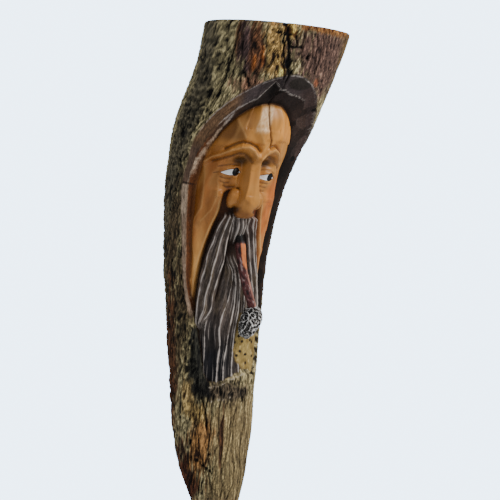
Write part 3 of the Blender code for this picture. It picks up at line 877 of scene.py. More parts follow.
@dataclass
class Bark:
    """The log's bark: interlaced ridges, dark fissures, worm holes and the drying cracks."""

    crack_main: Path = (
        (-22, 150), (-20.5, 143.5), (-16.5, 134.5), (-13, 124.5), (-12, 119.5), (-7, 109.5),
        (-5.5, 101), (-6.5, 95), (-7.5, 84),
    )
    cracks: tuple[tuple[Path, float], ...] = (
        (((-25.5, 154), (-24, 146.5), (-22.5, 138.5), (-18, 125.5), (-14.5, 115), (-10, 106.5)), 0.75),
        (((-35, 145.5), (-23, 143.5), (-12.5, 143), (-10.5, 138), (-9, 134)), 0.8),
        (((-14.5, 133), (-4.5, 133.5)), 1.1),
        (((-64, 146), (-62.5, 120), (-62, 98), (-61, 84)), 0.7),
        (((-47, 108), (-42, 104), (-38, 98)), 0.9),
        (((-25, -180), (-20, -196), (-18, -208)), 0.6),
        (((-34, -236), (-24, -240), (-12, -250)), 0.7),
    )
    holes: tuple[Triple, ...] = (
        (-71.5, 88.5, 2.8), (-62, 88, 2.2), (-89.5, 55.5, 2.6), (-78, 30, 1.6), (-12, 119.5, 3.2), (4, 126, 1.6),
        (-6, 112, 1.4), (-25.5, 152, 2.2), (-64, -60, 1.4), (-74, 3, 1.3), (16, -180, 1.5), (44, 84, 1.5),
        (-15, -232, 1.3), (-20, -243, 1.2), (-33, -222, 1.6), (68, -10, 1.8), (60, 40, 1.8), (30, -240, 1.2),
    )
    fissure_depth: float = 1.2

    @staticmethod
    def lean(z: Array) -> Array:
        """How far the bark's ridges drift round to the left above the hood: 0.3 mm for each mm above 92 mm."""
        return 0.3 * np.maximum(np.asarray(z) - 92, 0)

    def weaves(self, s: Array, z: Array) -> dict[Weave, tuple[Array, Array]]:
        """Every weave of the bark.

        Net, long ridges and loops are the higher of two fields of wandering crests, drawn out along the log and
        broken here and there; dashes and grain are plain noise pulled out along it. Long fissures part them all.

        Args:
            s, z: places on the log.

        Returns:
            (crest from 0 to 1, relief in mm) of each weave.
        """
        s = s + self.lean(z)
        bend = 2.4 * Noise(41).smooth(s / 14, z / 26) + 1.3 * Noise(42).smooth(s / 5, z / 8)
        uneven = 0.86 + 0.42 * Noise(40).layered(s / 2, z / 5, 2)
        fissure = held(Noise(43).ridged((s + bend) / 9, z / 60, 9.0))

        def crossed(width: float, length: float, seed: int) -> Array:
            """Interlaced crests: the higher of two ridged noises.

            Args:
                width, length: size of one cell in mm.
                seed: the first noise's; the second has the next.

            Returns:
                The crests, from 0 to 1.
            """
            first = Noise(seed).ridged((s + bend) / width, z / length, 3.0)
            second = Noise(seed + 1).ridged((s + bend) * 1.13 / width, z * 1.22 / length, 3.0)
            return held((np.maximum(first, second) + 0.12) * uneven)

        net = crossed(3.5, 11.5, 44)
        long_ones = crossed(3.3, 30.0, 46)
        loops = crossed(4.4, 12.0, 50)
        dashes = held(0.47 + 0.66 * Noise(52).layered((s + bend) / 2.1, z / 6.5, 2))
        lines = Noise(54).ridged((s + 0.4 * bend) / 2.4, z / 44)
        grain = held(0.42 + 0.26 * lines + 0.38 * Noise(56).layered((s + 0.4 * bend) / 1.5, z / 14, 2))
        found = (
            (Weave.NET, net, 1.25),
            (Weave.LONG, long_ones, 1.3),
            (Weave.LOOPS, loops, 1.2),
            (Weave.DASHES, dashes, 0.9),
            (Weave.GRAIN, grain, 0.6),
        )
        return {
            weave: (crest * (1 - 0.8 * fissure), height * (1 - crest) + self.fissure_depth * fissure)
            for weave, crest, height in found
        }

    def dark_cracks(self, s: Array, z: Array) -> Array:
        """The drying cracks and the worm holes.

        Args:
            s, z: places on the log.

        Returns:
            How much of each place is crack or hole, from 0 to 1.
        """
        wobble = 0.8 * Noise(47).smooth(s / 4, z / 6)
        dark = line(s + wobble, z, self.crack_main, 1.15)
        for path, width in self.cracks:
            dark = np.maximum(dark, line(s + wobble, z + 0.6 * wobble, path, width))
        for hole_s, hole_z, radius in self.holes:
            dark = np.maximum(dark, step(1.25, 0.6, np.hypot(s - hole_s, (z - hole_z) * 0.7) / radius))
        return dark

    def surface(self, s: Array, z: Array) -> tuple[Array, Coat]:
        """Relief and coat of the bark.

        Args:
            s, z: places on the log.

        Returns:
            (depth of the relief in mm, coat). Each tone is laid over the last with a ragged edge, and its weave
            goes with it; the middle tone is the hollow's and a good part of the way to the ridge's.
        """
        weaves = self.weaves(s, z)
        crest, relief = weaves[OLIVE.weave]
        ridge, hollow = np.tile(OLIVE.ridge, (len(s), 1)), np.tile(OLIVE.hollow, (len(s), 1))
        ragged = 0.26 * Noise(51).layered(s / 9, z / 22, 3) + 0.42 * Noise(57).layered(s / 2.2, z / 18, 2)
        for tone in BARK_TONES:
            across = s + self.lean(z) - tone.place[0] - self.lean(tone.place[1])
            reach = np.hypot(across / tone.radii[0], (z - tone.place[1]) / tone.radii[1])
            share = step(1.3, 0.65, reach + ragged)
            ridge, hollow = blend(ridge, tone.ridge, share), blend(hollow, tone.hollow, share)
            crest = crest + (weaves[tone.weave][0] - crest) * share
            relief = relief + (weaves[tone.weave][1] - relief) * share
        patchy = (1 + 0.24 * Noise(53).layered(s / 6, z / 17, 3))[:, None]
        middle = hollow + (ridge - hollow) * 0.34
        return relief, Coat(held(middle * patchy), held(ridge * patchy), hollow, crest)


@dataclass
class Place:
    """What is known of each place before it is coloured."""

    s: Array
    z: Array
    from_bark: Array
    from_recess: Array
    band: Array
    ridge_share: Array
    along: Array
    is_hair: Array
    patch: Array
    face_depth: Array


@dataclass(frozen=True)
class HoodTones:
    """The colours of the hood's cut faces: outside the ridge, within it, and where they are worn or in shade."""

    outer: Colour = paint(72, 61, 60)
    outer_left: Colour = paint(116, 87, 62)
    outer_right: Colour = paint(66, 52, 48)
    right_leg: Colour = paint(54, 40, 32)
    left_leg: Colour = paint(110, 86, 70)
    broken_leg: Colour = paint(190, 164, 138)
    leg_foot: Colour = paint(166, 138, 114)
    # The near-black tones within the ridge are partly the hood's dark stain and partly painted shade of the undercut.
    inner: Colour = paint(44, 35, 32)
    inner_left: Colour = paint(70, 48, 34)
    inner_right: Colour = paint(62, 48, 42)
    left_wall: Colour = paint(104, 59, 28)
    # Painted shade on the wall of the right leg's cavity.
    right_wall: Colour = paint(36, 26, 20)
    knob: Colour = paint(44, 39, 32)
    shade: Colour = paint(24, 18, 16)
    worn: Colour = paint(164, 154, 146)
    worn_left: Colour = paint(208, 182, 154)
    hollow: Colour = paint(24, 18, 15)


@dataclass(frozen=True)
class BareTones:
    """The colours of the bare wood beside the beard, and of the marks on the bark round the beard's foot."""

    wood: Colour = paint(172, 146, 86)
    brown: Colour = paint(116, 90, 42)
    pale: Colour = paint(214, 188, 128)
    rim: Colour = paint(84, 62, 32)
    pit: Colour = paint(26, 16, 9)
    ledge: Colour = paint(168, 158, 142)
    crack: Colour = paint(12, 9, 8)
    shade: Colour = (0.62, 0.60, 0.62)
    stain: Colour = (0.07, 0.08, 0.11)


@dataclass
class Carving:
    """The whole front of the log: bark, the hood's cut faces, the face, the hair and bare wood."""

    face: Face
    hair: Hair
    bark: Bark
    cheek_heights: Row = (-98, -92, -70.5, -43, -23, -12.5, 0, 6.5, 9.5)
    cheek_left: Row = (43, 42, 39.5, 34.5, 28.5, 25, 24, 21.5, 12)
    cheek_right: Row = (47, 46.5, 45, 40, 33, 28, 24, 20.5, 12)
    hood_turns: Row = (-90, -78, -62, -30, -20, -14, -7, 7, 18, 28, 50, 90)
    hood_ridges: Row = (0.80, 0.80, 0.70, 0.65, 0.36, 0.16, 0.50, 0.62, 0.52, 0.42, 0.26, 0.30)
    hood_edge: Path = (
        (-42.7, -91), (-47, -73), (-49.5, -49.5), (-52.5, -27), (-55.2, -14), (-57.8, -3), (-59.6, 5), (-59.8, 13),
        (-59.4, 22), (-58.8, 33), (-56, 46), (-51.7, 57), (-46.5, 66), (-42, 73), (-39, 79),
    )
    leg_break: Path = ((-66, 10.5), (-58, 9.5))
    knob_place: Pair = (9.0, 103.5)
    knob_radii: Pair = (12.0, 5.5)
    knob_height: float = 1.6
    hood_fall: float = 0.32
    bare_depth: float = 3.0
    crack_depth: float = 1.6
    bark_crack_depth: float = 2.6
    ledge_height: float = 0.8
    patch: Path = (
        (10, -101), (6.5, -112), (5, -121), (3, -135), (7, -145.5), (17, -153), (33, -157),
        (42.5, -150), (43.5, -136), (43.5, -124), (38, -110), (26, -102),
    )
    patch_holes: tuple[Pair, ...] = (
        (4.5, -128), (9, -122), (20, -139), (12, -136), (27, -126), (31, -128), (21, -147), (34, -141),
        (8, -140), (14, -127),
    )
    ledges: tuple[Path, ...] = (
        ((-20, -170.5), (-8.5, -167.5), (1, -162), (16, -156)),
        ((-16, -183), (-6.5, -180), (3, -178.5)),
    )
    hood_tones: HoodTones = HoodTones()
    bare_tones: BareTones = BareTones()

    def cheek(self, s: Array, z: Array) -> Array:
        """How far round from the front line the cheek's fold is, on the side that s is on."""
        left, right = (curve(self.cheek_heights, fold, z) for fold in (self.cheek_left, self.cheek_right))
        return np.where(s < 0, left, right)

    def place(self, s: Array, z: Array) -> Place:
        """Finds out which part of the carving each place is in.

        Args:
            s, z: places on the log.

        Returns:
            The distances and shares that the depths and the coats are worked out from.
        """
        from_bark, from_recess = HOOD.inside(s, z), RECESS.inside(s, z)
        nose = self.face.nose_rise(s, z)
        between_cheeks = 1 - step(-1.0, 1.0, np.abs(s) - self.cheek(s, z))
        is_hair = between_cheeks * (1 - step(8.5, 11, z)) * (1 - step(1.5, 3.5, nose))
        turn = np.degrees(np.arctan2(s / 68, np.maximum((z - 45) / 66, 0)))
        ragged = 0.8 * Noise(61).layered(s / 6, z / 7, 2)
        return Place(
            s=s,
            z=z,
            from_bark=from_bark,
            from_recess=from_recess,
            band=held(from_bark / np.maximum(from_bark - from_recess, 0.1)),
            ridge_share=np.interp(turn, self.hood_turns, self.hood_ridges),
            along=np.where(z > 45, 1.17 * np.abs(turn), 105 + (45 - z)) * np.sign(s),
            is_hair=is_hair,
            patch=step(-0.6, 0.6, inside_distance(s, z, self.patch) + ragged) * is_hair,
            face_depth=self.face.depth(s, z),
        )

    def knob(self, p: Place) -> Array:
        """The round lump left on the hood's rim, from 0 to 1."""
        across = (p.s - self.knob_place[0]) / self.knob_radii[0]
        return held(1 - across**2 - ((p.z - self.knob_place[1]) / self.knob_radii[1]) ** 2) ** 0.5

    @staticmethod
    def gouges(p: Place) -> tuple[Array, Array, Array]:
        """The gouge's shallow scoops on the hood: distances to the nearest two scoops' middles, and a random share."""
        return Noise(58).cells((p.s + 0.4 * p.z) / 13, (p.z - 0.4 * p.s) / 19)

    def hood_depth(self, p: Place, within: Array) -> Array:
        """Depth of the hood's cut faces: one gentle fall to the ridge, then a steep one down to the recess.

        Args:
            p: the places.
            within: depth of the face or the hair below the plain log.

        Returns:
            The depth in mm: a share of within that grows across the band, less the worn lip, the leg's edge and the
            knob, with gouge marks and strokes that fade towards both of the band's sides.
        """
        fall = self.hood_fall - 0.24 * step(-40, -50, p.s) * step(56, 30, p.z)
        outer = fall * p.band / p.ridge_share
        inner = fall + (1 - fall) * (p.band - p.ridge_share) / (1 - p.ridge_share)
        near, _, own = self.gouges(p)
        facets = (1.8 * (0.5 - near**2) + 2.0 * (own - 0.5)) * step(-46, -26, p.s) * step(35, 50, p.z)
        strokes = 0.35 * Noise(60).layered(p.band * (p.from_bark - p.from_recess) / 1.5, p.along / 13, 2)
        uneven = (facets + strokes) * np.sin(math.pi * p.band)
        lip = 0.5 * np.exp(-(((p.band - p.ridge_share) / 0.05) ** 2))
        edge = 0.7 * line(p.s, p.z, self.hood_edge, 1.3)
        broad = within * np.where(p.band < p.ridge_share, outer, inner)
        return broad + uneven - lip - edge - self.knob_height * self.knob(p)

    def hood_coat(self, p: Place) -> Coat:
        """The hood's cut faces: grey and brown outside a worn pale ridge, nearly black within, partly the stain and
        partly painted shade of the undercut, streaked lengthwise.

        Args:
            p: the places.

        Returns:
            The coat; its crest field is raised on the ridge, along the rim and on the leg's two edges.
        """
        tones = self.hood_tones
        ones = np.ones((len(p.s), 1))
        width = p.from_bark - p.from_recess
        streak = Noise(60).layered(p.band * width / 1.5, p.along / 13, 3)
        blotch = Noise(62).layered(p.s / 3, p.z / 6, 3)
        _, _, own = self.gouges(p)
        left, leg = step(-26, -46, p.s), step(46, 34, p.z)
        below_break, foot = step(10, 8, p.z), step(-14, -24, p.z)
        outer = painted(
            tones.outer * ones,
            (tones.outer_left, step(-34, -46, p.s) * step(30, 50, p.z)),
            (tones.outer_right, step(10, 26, p.s)),
            (tones.right_leg, step(10, 26, p.s) * leg),
            (tones.left_leg, left * leg),
            (tones.broken_leg, left * below_break * step(-22, -14, p.z)),
            (tones.leg_foot, left * foot),
        )
        uneven = 0.60 * streak * (0.4 + 0.6 * left) + 0.14 * blotch
        outer = outer * (1 + uneven + 0.9 * (own - 0.5) * (1 - left))[:, None]
        # Within the ridge: near-black, partly the stain and partly painted shade of the undercut, with painted shade on
        # the right leg's wall.
        inner = painted(
            tones.inner * ones,
            (tones.inner_left, left),
            (tones.inner_right, step(20, 34, p.s) * step(45, 60, p.z)),
            (tones.left_wall, left * step(56, 44, p.z)),
            (tones.right_wall, step(10, 26, p.s) * leg),
        )
        inner = inner * (1 + 0.30 * streak * left + 0.14 * blotch + 1.5 * (own - 0.5) * (1 - left))[:, None]
        past = p.band - p.ridge_share
        middle = blend(outer, inner, step(-0.02, 0.04, past + 0.05 * left * leg))
        middle = blend(middle, tones.knob, step(0.1, 0.4, self.knob(p)) * 0.8)
        middle = blend(middle, tones.shade, step(0.82, 1.0, p.band) * (1 - left * 0.6))
        right = step(18, 36, p.s)
        on_ridge = held(1 - np.abs(past) * width / 1.2) * (1 - 0.9 * right) * (1 - left * step(66, 58, p.z))
        leg_edge = (0.3 + 0.55 * step(4, 12, p.z)) * line(p.s, p.z, self.hood_edge, 0.8)
        leg_rim = held(1 - np.abs(p.from_bark - 1.2) / 1.0) * left * step(10, 7, p.z) * (1 - 0.5 * foot)
        on_ridge = np.maximum(np.maximum(on_ridge, leg_edge), leg_rim)
        on_rim = held(1 - np.abs(p.band - 0.05) * width / 1.0) * step(44, 58, p.z) * (1 - 0.5 * right)
        worn = np.clip(0.95 + 0.55 * Noise(59).layered(p.s / 3, p.z / 3, 2), 0.15, 1.3)
        flecks = step(0.25, 0.9, Noise(73).layered(p.s / 1.5, p.z / 3, 2)) * step(32, 44, p.s) * step(40, 60, p.z)
        crest = 0.46 + 0.42 * np.maximum(on_ridge, on_rim) * worn + 0.20 * flecks
        crest = crest + 0.12 * streak * left - 0.5 * left * line(p.s, p.z, self.leg_break, 0.8)
        pale = blend(tones.worn * ones, tones.worn_left, left * step(70, 56, p.z))
        ridge, hollow = blend(middle, pale, 0.85 * ones[:, 0]), blend(middle, tones.hollow, 0.7 * ones[:, 0])
        return Coat(middle, ridge, hollow, held(crest))

    def face_coat(self, p: Place, crack: Array) -> Coat:
        """The face's wood with painted shade, brown in hollows, under the brows and nose and beside its wings, dark in
        the nostrils, in folds and round its edge, and with a painted highlight, pale on the brows, the knife's edges
        and the cheeks' folds.

        Args:
            p: the places.
            crack: how much of each is the drying crack.

        Returns:
            The coat; its crest field is raised on the knife's edges, where its ridge tone is a painted highlight, and
            lowered in wrinkles and creases, where its hollow tone is painted shade.
        """
        face, tones = self.face, self.face.tones
        side = np.abs(p.s)
        colour = face.colour(p.s, p.z)
        # Painted shade wherever the surface lies deeper than the face's broad form.
        hollow = step(1.6, 6.0, p.face_depth + face.nose_rise(p.s, p.z) - face.ground(p.s, p.z))
        colour = blend(colour, tones.hollow, hollow * 0.8)
        # Painted shade under the brows, beside the nose's wings and under the nose.
        brow_shade = held(1.3 * mound(side, p.z, (16, 34), (8.5, 3.6)))
        colour = painted(
            colour,
            (tones.brow_shade, brow_shade * 0.85),
            (tones.wing_shade, line(side, p.z, ((20, 8), (22.5, 0), (20, -9)), 2.6) * 0.7),
            (tones.nose_shade, step(-8, -13, p.z) * step(15, 11, side) * 0.7),
        )
        # Painted shade in the nostrils.
        nostril = held(1.6 * mound(side, p.z, (9, -9.5), (3.0, 2.6)))
        colour = blend(colour, tones.nostril, nostril * 0.85)
        # Painted shade round the face's edge, where it meets the hood.
        edge_shade = 0.85 - 0.8 * step(-36, -46, p.s) * step(50, 40, p.z)
        colour = blend(colour, tones.edge_shade, step(2.2, 0.2, p.from_recess) * edge_shade)
        # Painted shade in wrinkles, creases and brow rolls, and a painted highlight on the brows, the knife's edges and
        # beside the cheeks' folds.
        dark = held(face.wrinkles(p.s, p.z) / 0.8)
        for path in (face.crease_left, face.crease_right, face.roll_left, face.roll_right):
            dark = np.maximum(dark, 0.95 * line(p.s, p.z, path, 1.5) * step(44, 34, p.s))
        brow_right = line(p.s, p.z, face.brow_right, 1.3) * step(38, 30, p.s)
        pale = np.maximum(line(p.s, p.z, face.brow_left, 1.3), brow_right) * 0.55
        fold = np.exp(-(((side - self.cheek(p.s, p.z) - 1.6) / 1.2) ** 2)) * step(4, -6, p.z)
        for path in face.knife_edges:
            pale = np.maximum(pale, 0.5 * line(p.s, p.z, path, 1.2))
        pale = np.maximum(pale, fold)
        crest = held(0.5 + 0.4 * pale - 0.34 * dark)
        # The ridge tone is a painted highlight and the hollow tone is painted shade.
        ridge = blend(colour, tones.edge, 0.6 + 0 * p.s)
        coat = Coat(colour, ridge, blend(colour, tones.fold, 0.8 + 0 * p.s), crest)
        return coat.mark(tones.crack, crack)

    def wood_coat(self, p: Place) -> Coat:
        """Bare yellow wood beside the beard, mottled brown, with a few dark pits.

        Args:
            p: the places.

        Returns:
            The coat; its crest field falls in the pits, by 1 less the distance to a pit's middle over its radius.
        """
        tones = self.bare_tones
        wood = painted(
            np.tile(tones.wood, (len(p.s), 1)),
            (tones.brown, held(0.4 + Noise(69).layered(p.s / 7, p.z / 13, 3)) * 0.75),
            (tones.pale, step(0.3, 0.8, Noise(70).layered(p.s / 5, p.z / 7, 2)) * 0.7),
            (tones.rim, step(2.4, 0.2, inside_distance(p.s, p.z, self.patch)) * 0.5),
        )
        pits = np.zeros(len(p.s))
        for hole_s, hole_z in self.patch_holes:
            pits = np.maximum(pits, 1 - np.hypot((p.s - hole_s) * 0.8, (p.z - hole_z) * 1.3) / 2.7)
        crest = held(0.5 - 0.6 * np.maximum(pits, 0))
        return Coat(wood, wood, np.tile(tones.pit, (len(p.s), 1)), crest)

    def beard_foot_coat(self, s: Array, z: Array, coat: Coat, ledge: Array) -> Coat:
        """The bark round the beard's foot: in shade under it, stained black on its left, pale along torn ledges.

        Args:
            s, z: places on the log.
            coat: the bark's own coat.
            ledge: how much of each place is ledge.

        Returns:
            The coat with the marks laid on.
        """
        tones = self.bare_tones
        ragged = 0.30 * Noise(71).layered(s / 5, z / 9, 3)
        coat = coat.dim(tones.shade, step(1.15, 0.6, np.hypot((s + 4) / 30, (z + 172) / 16) + ragged))
        coat = coat.dim(tones.stain, step(1.3, 0.95, np.hypot((s + 26) / 11.5, (z + 143) / 37) + ragged))
        lined = held(1.1 * ledge) * held(0.8 + 0.5 * Noise(68).layered(s / 3, z / 3, 2))
        torn = Coat(coat.middle, blend(coat.ridge, tones.ledge, lined), coat.hollow, 1 + 0 * s)
        return coat.under(torn, lined)

    def skin(self, s: Array, z: Array) -> Skin:
        """Works out every place of the log's skin.

        Args:
            s, z: places on the log, as flat arrays.

        Returns:
            The skin there: bark, hood, face, hair and bare wood, each blended into the next over a millimetre.
        """
        p = self.place(s, z)
        locks = self.hair.locks(s, z)
        within = p.face_depth + (locks.depth - p.face_depth) * p.is_hair
        bare = self.bare_depth + 0.5 * Noise(63).layered(s / 5, z / 7, 2)
        for hole_s, hole_z in self.patch_holes:
            bare = bare + 0.9 * mound(s, z, (hole_s, hole_z), (1.1, 0.9))
        within = within + (bare - within) * p.patch
        within = within + 1.6 * np.exp(-((p.from_recess / 1.8) ** 2)) * step(-90, -60, z)
        crack = line(s + 0.4 * Noise(64).smooth(s / 5, z / 9), z, self.face.crack, 0.7) * step(43, 47, z)
        dark = self.bark.dark_cracks(s, z)
        relief, coat = self.bark.surface(s, z)
        lumps = 0.9 * Noise(66).layered(s / 24, z / 46, 2)
        ledge = sum(line(s, z + 0.9 * Noise(67).smooth(s / 4, z / 4), path, 0.65) for path in self.ledges)
        raised = self.bark_crack_depth * dark - self.ledge_height * ledge + 0.8 * step(151, 153, z)
        bark_depth = (relief - 0.45 + lumps + raised) * step(-306, -296, z)
        on_bark = step(0.9, -0.4, p.from_bark)
        in_recess = step(-0.4, 0.4, p.from_recess)
        hood = self.hood_depth(p, within) + 2.2 * dark * (s < 0)
        inset = np.where(p.from_recess > 0, within + self.crack_depth * crack, hood)
        inset = inset * (1 - on_bark) + bark_depth * on_bark
        coat = self.beard_foot_coat(s, z, coat, ledge)
        coat = coat.under(self.hood_coat(p), step(-0.5, 0.5, p.from_bark) * step(-112, -98, z))
        coat = coat.under(self.face_coat(p, crack), in_recess)
        gap = held(1.5 * mound(np.abs(s), z, (20, -7), (5.5, 13))) * 0.8
        face_tones = self.face.tones
        brown = blend(np.tile(face_tones.gap_left, (len(s), 1)), face_tones.gap_right, step(-1, 1, s))
        hair = blend(self.hair.colour(s, z, locks), brown, gap)
        coat = coat.under(Coat(hair, hair, hair, 0.5 + 0 * s), in_recess * p.is_hair)
        coat = coat.under(self.wood_coat(p), in_recess * p.patch)
        cracked = held(1.4 * dark) * step(-9, -5, -p.from_bark)
        open_crack = blend(coat.hollow, self.bare_tones.crack, cracked)
        coat = coat.under(Coat(coat.middle, coat.ridge, open_crack, 0 * s), cracked)
        eyes = [self.face.eye(s, z, mirrored) for mirrored in (False, True)]
        return Skin(
            inset=inset,
            coat=coat,
            oiled=in_recess * (1 - p.is_hair) * (1 - crack),
            barky=on_bark,
            eye_white=np.maximum(eyes[0][0], eyes[1][0]),
            pupil=np.maximum(eyes[0][1], eyes[1][1]),
            strand=np.column_stack([locks.phase, locks.spacing, z]),
            worn=locks.worn * in_recess * p.is_hair * (1 - p.patch),
        )


@dataclass(frozen=True)
class Side:
    """The lines that the columns of one side follow: distances from the front line at their own heights."""

    hood: Row
    recess: Row
    cheek: Row
    outer: Row
    inner: Row
    middle: float


@dataclass
class CarvedLog:
    """The log's fine skin: columns run down the lines of the carving, and rows follow the arch."""

    shape: LogShape
    carving: Carving
    zone_columns: tuple[int, ...] = (34, 12, 32, 8, 34, 22)
    row_bands: tuple[tuple[float, float, int], ...] = (
        (-308, -275, 12), (-275, -176, 44), (-176, -152, 20), (-152, -98, 42), (-98, -45, 42),
        (-45, -20, 24), (-20, 50, 88), (50, 112, 50), (112, 153, 24),
    )
    left_middle: float = 11.0
    right_middle: float = 21.0
    row_drop: float = 30.0
    drop_width: float = 50.0
    most_drop: float = 34.0
    full_width: float = 68.0

    def side_lines(self, z: Array, side: Side) -> Array:
        """The lines that run down one side.

        Args:
            z: heights.
            side: the side's own lines.

        Returns:
            One row for each height: corner at the wall, hood, recess, cheek's fold, lobe's two edges, middle.
            Each is held a share of the corner's distance inside the last, so that columns never cross.
        """
        hair = self.carving.hair
        corner = self.shape.corner(z)
        face, below = step(-16, -8, z), 1 - step(-124, -96, z)
        hood = np.minimum(curve(HOOD.heights, side.hood, z), 0.84 * corner)
        recess = np.minimum(curve(RECESS.heights, side.recess, z), hood - np.minimum(2.5, 0.08 * corner))
        fold = curve(self.carving.cheek_heights[:7], side.cheek[:7], z)
        outer, inner = curve(hair.lobe_heights, side.outer, z), curve(hair.lobe_heights, side.inner, z)
        fold = np.minimum(fold + (0.72 * recess - fold) * below, recess - np.minimum(2, 0.12 * corner))
        outer = outer + (fold - 3 - outer) * np.maximum(face, below)
        inner = inner + (12.5 - inner) * face + (side.middle - inner) * below
        outer = np.minimum(outer, fold - np.minimum(1, 0.1 * corner))
        inner = np.minimum(inner, outer - np.minimum(4, 0.2 * corner))
        return np.stack([corner, hood, recess, fold, outer, inner, 0 * corner], 1)

    def grid(self) -> tuple[Array, Array]:
        """Lays out the skin's vertices.

        Columns are spaced evenly between the lines. Rows bend down at the sides by row_drop times the square of s
        over drop_width, up to most_drop, so that they run along the arch.

        Returns:
            (s, z) of every vertex, each of shape (rows, columns).
        """
        bands = [np.linspace(low, high, count + 1)[:-1] for low, high, count in self.row_bands]
        level = np.append(np.concatenate(bands), self.row_bands[-1][1])
        carving, hair = self.carving, self.carving.hair
        left_side = Side(
            HOOD.left, RECESS.left, carving.cheek_left, hair.left_outer, hair.left_inner, self.left_middle
        )
        right_side = Side(
            HOOD.right, RECESS.right, carving.cheek_right, hair.right_outer, hair.right_inner, self.right_middle
        )
        left, right = self.side_lines(level, left_side), self.side_lines(level, right_side)
        centre = (right[:, -2] - left[:, -2]) / 2
        left[:, -1], right[:, -1] = -centre, centre
        share = np.concatenate([zone + np.arange(n) / n for zone, n in enumerate(self.zone_columns)])
        spread = np.maximum(0, 1 - np.abs(share[:, None] - np.arange(7)))
        s = np.concatenate([-left @ spread.T, centre[:, None], (right @ spread.T)[:, ::-1]], 1)
        side, edge = np.abs(s), np.abs(s[:, -1:])
        drop = np.minimum(self.row_drop * (side / self.drop_width) ** 2, self.most_drop)
        drop = drop * held((edge - side) / (edge - self.full_width))
        drop = np.where(edge > self.full_width + 1, drop, 0)
        drop = drop * np.interp(level, (20, 80, 112, 153), (0, 1, 1, 0))[:, None]
        return s, level[:, None] - drop

    def build(self) -> bpy.types.Object:
        """Makes the log's piece: the skin's quads, its sawn top, its tip and its sawn back, with the skin's attributes.

        Returns:
            The finished piece.
        """
        s, z = self.grid()
        rows, columns = s.shape
        skin = self.carving.skin(s.ravel(), z.ravel())
        points = self.shape.point(s.ravel(), z.ravel(), skin.inset)
        index = np.arange(rows * columns).reshape(rows, columns)
        quads = np.stack([index[:-1, :-1], index[:-1, 1:], index[1:, 1:], index[1:, :-1]], -1).reshape(-1, 4)
        back = np.stack([index[:-1, -1], index[:-1, 0], index[1:, 0], index[1:, -1]], -1)
        caps = [index[-1].tolist(), index[0, ::-1].tolist()]
        mesh = bpy.data.meshes.new("carved_log_skin")
        mesh.from_pydata(points.tolist(), [], quads.tolist() + back.tolist() + caps)
        slots = np.concatenate([np.zeros(len(quads)), np.full(len(back), 2), (1, 2)]).astype(np.int32)
        mesh.polygons.foreach_set("material_index", slots)
        mesh.polygons.foreach_set("use_smooth", slots == 0)
        for name in ("middle", "ridge", "hollow"):
            tone = mesh.attributes.new(name, "FLOAT_COLOR", "POINT")
            tone.data.foreach_set("color", np.column_stack([getattr(skin.coat, name), np.ones(len(points))]).ravel())
        mesh.attributes.new("crest", "FLOAT", "POINT").data.foreach_set("value", skin.coat.crest.astype(np.float32))
        mesh.attributes.new("strand", "FLOAT_VECTOR", "POINT").data.foreach_set("vector", skin.strand.ravel())
        for name in ("oiled", "barky", "eye_white", "pupil", "worn"):
            share = getattr(skin, name).astype(np.float32)
            mesh.attributes.new(name, "FLOAT", "POINT").data.foreach_set("value", share)
        mesh.materials.append(CarvedFinish().material())
        mesh.materials.append(SawnTopFinish().material())
        mesh.materials.append(SawnBackFinish().material())
        mesh.update()
        piece = bpy.data.objects.new("log_skin", mesh)
        bpy.context.scene.collection.objects.link(piece)
        return piece


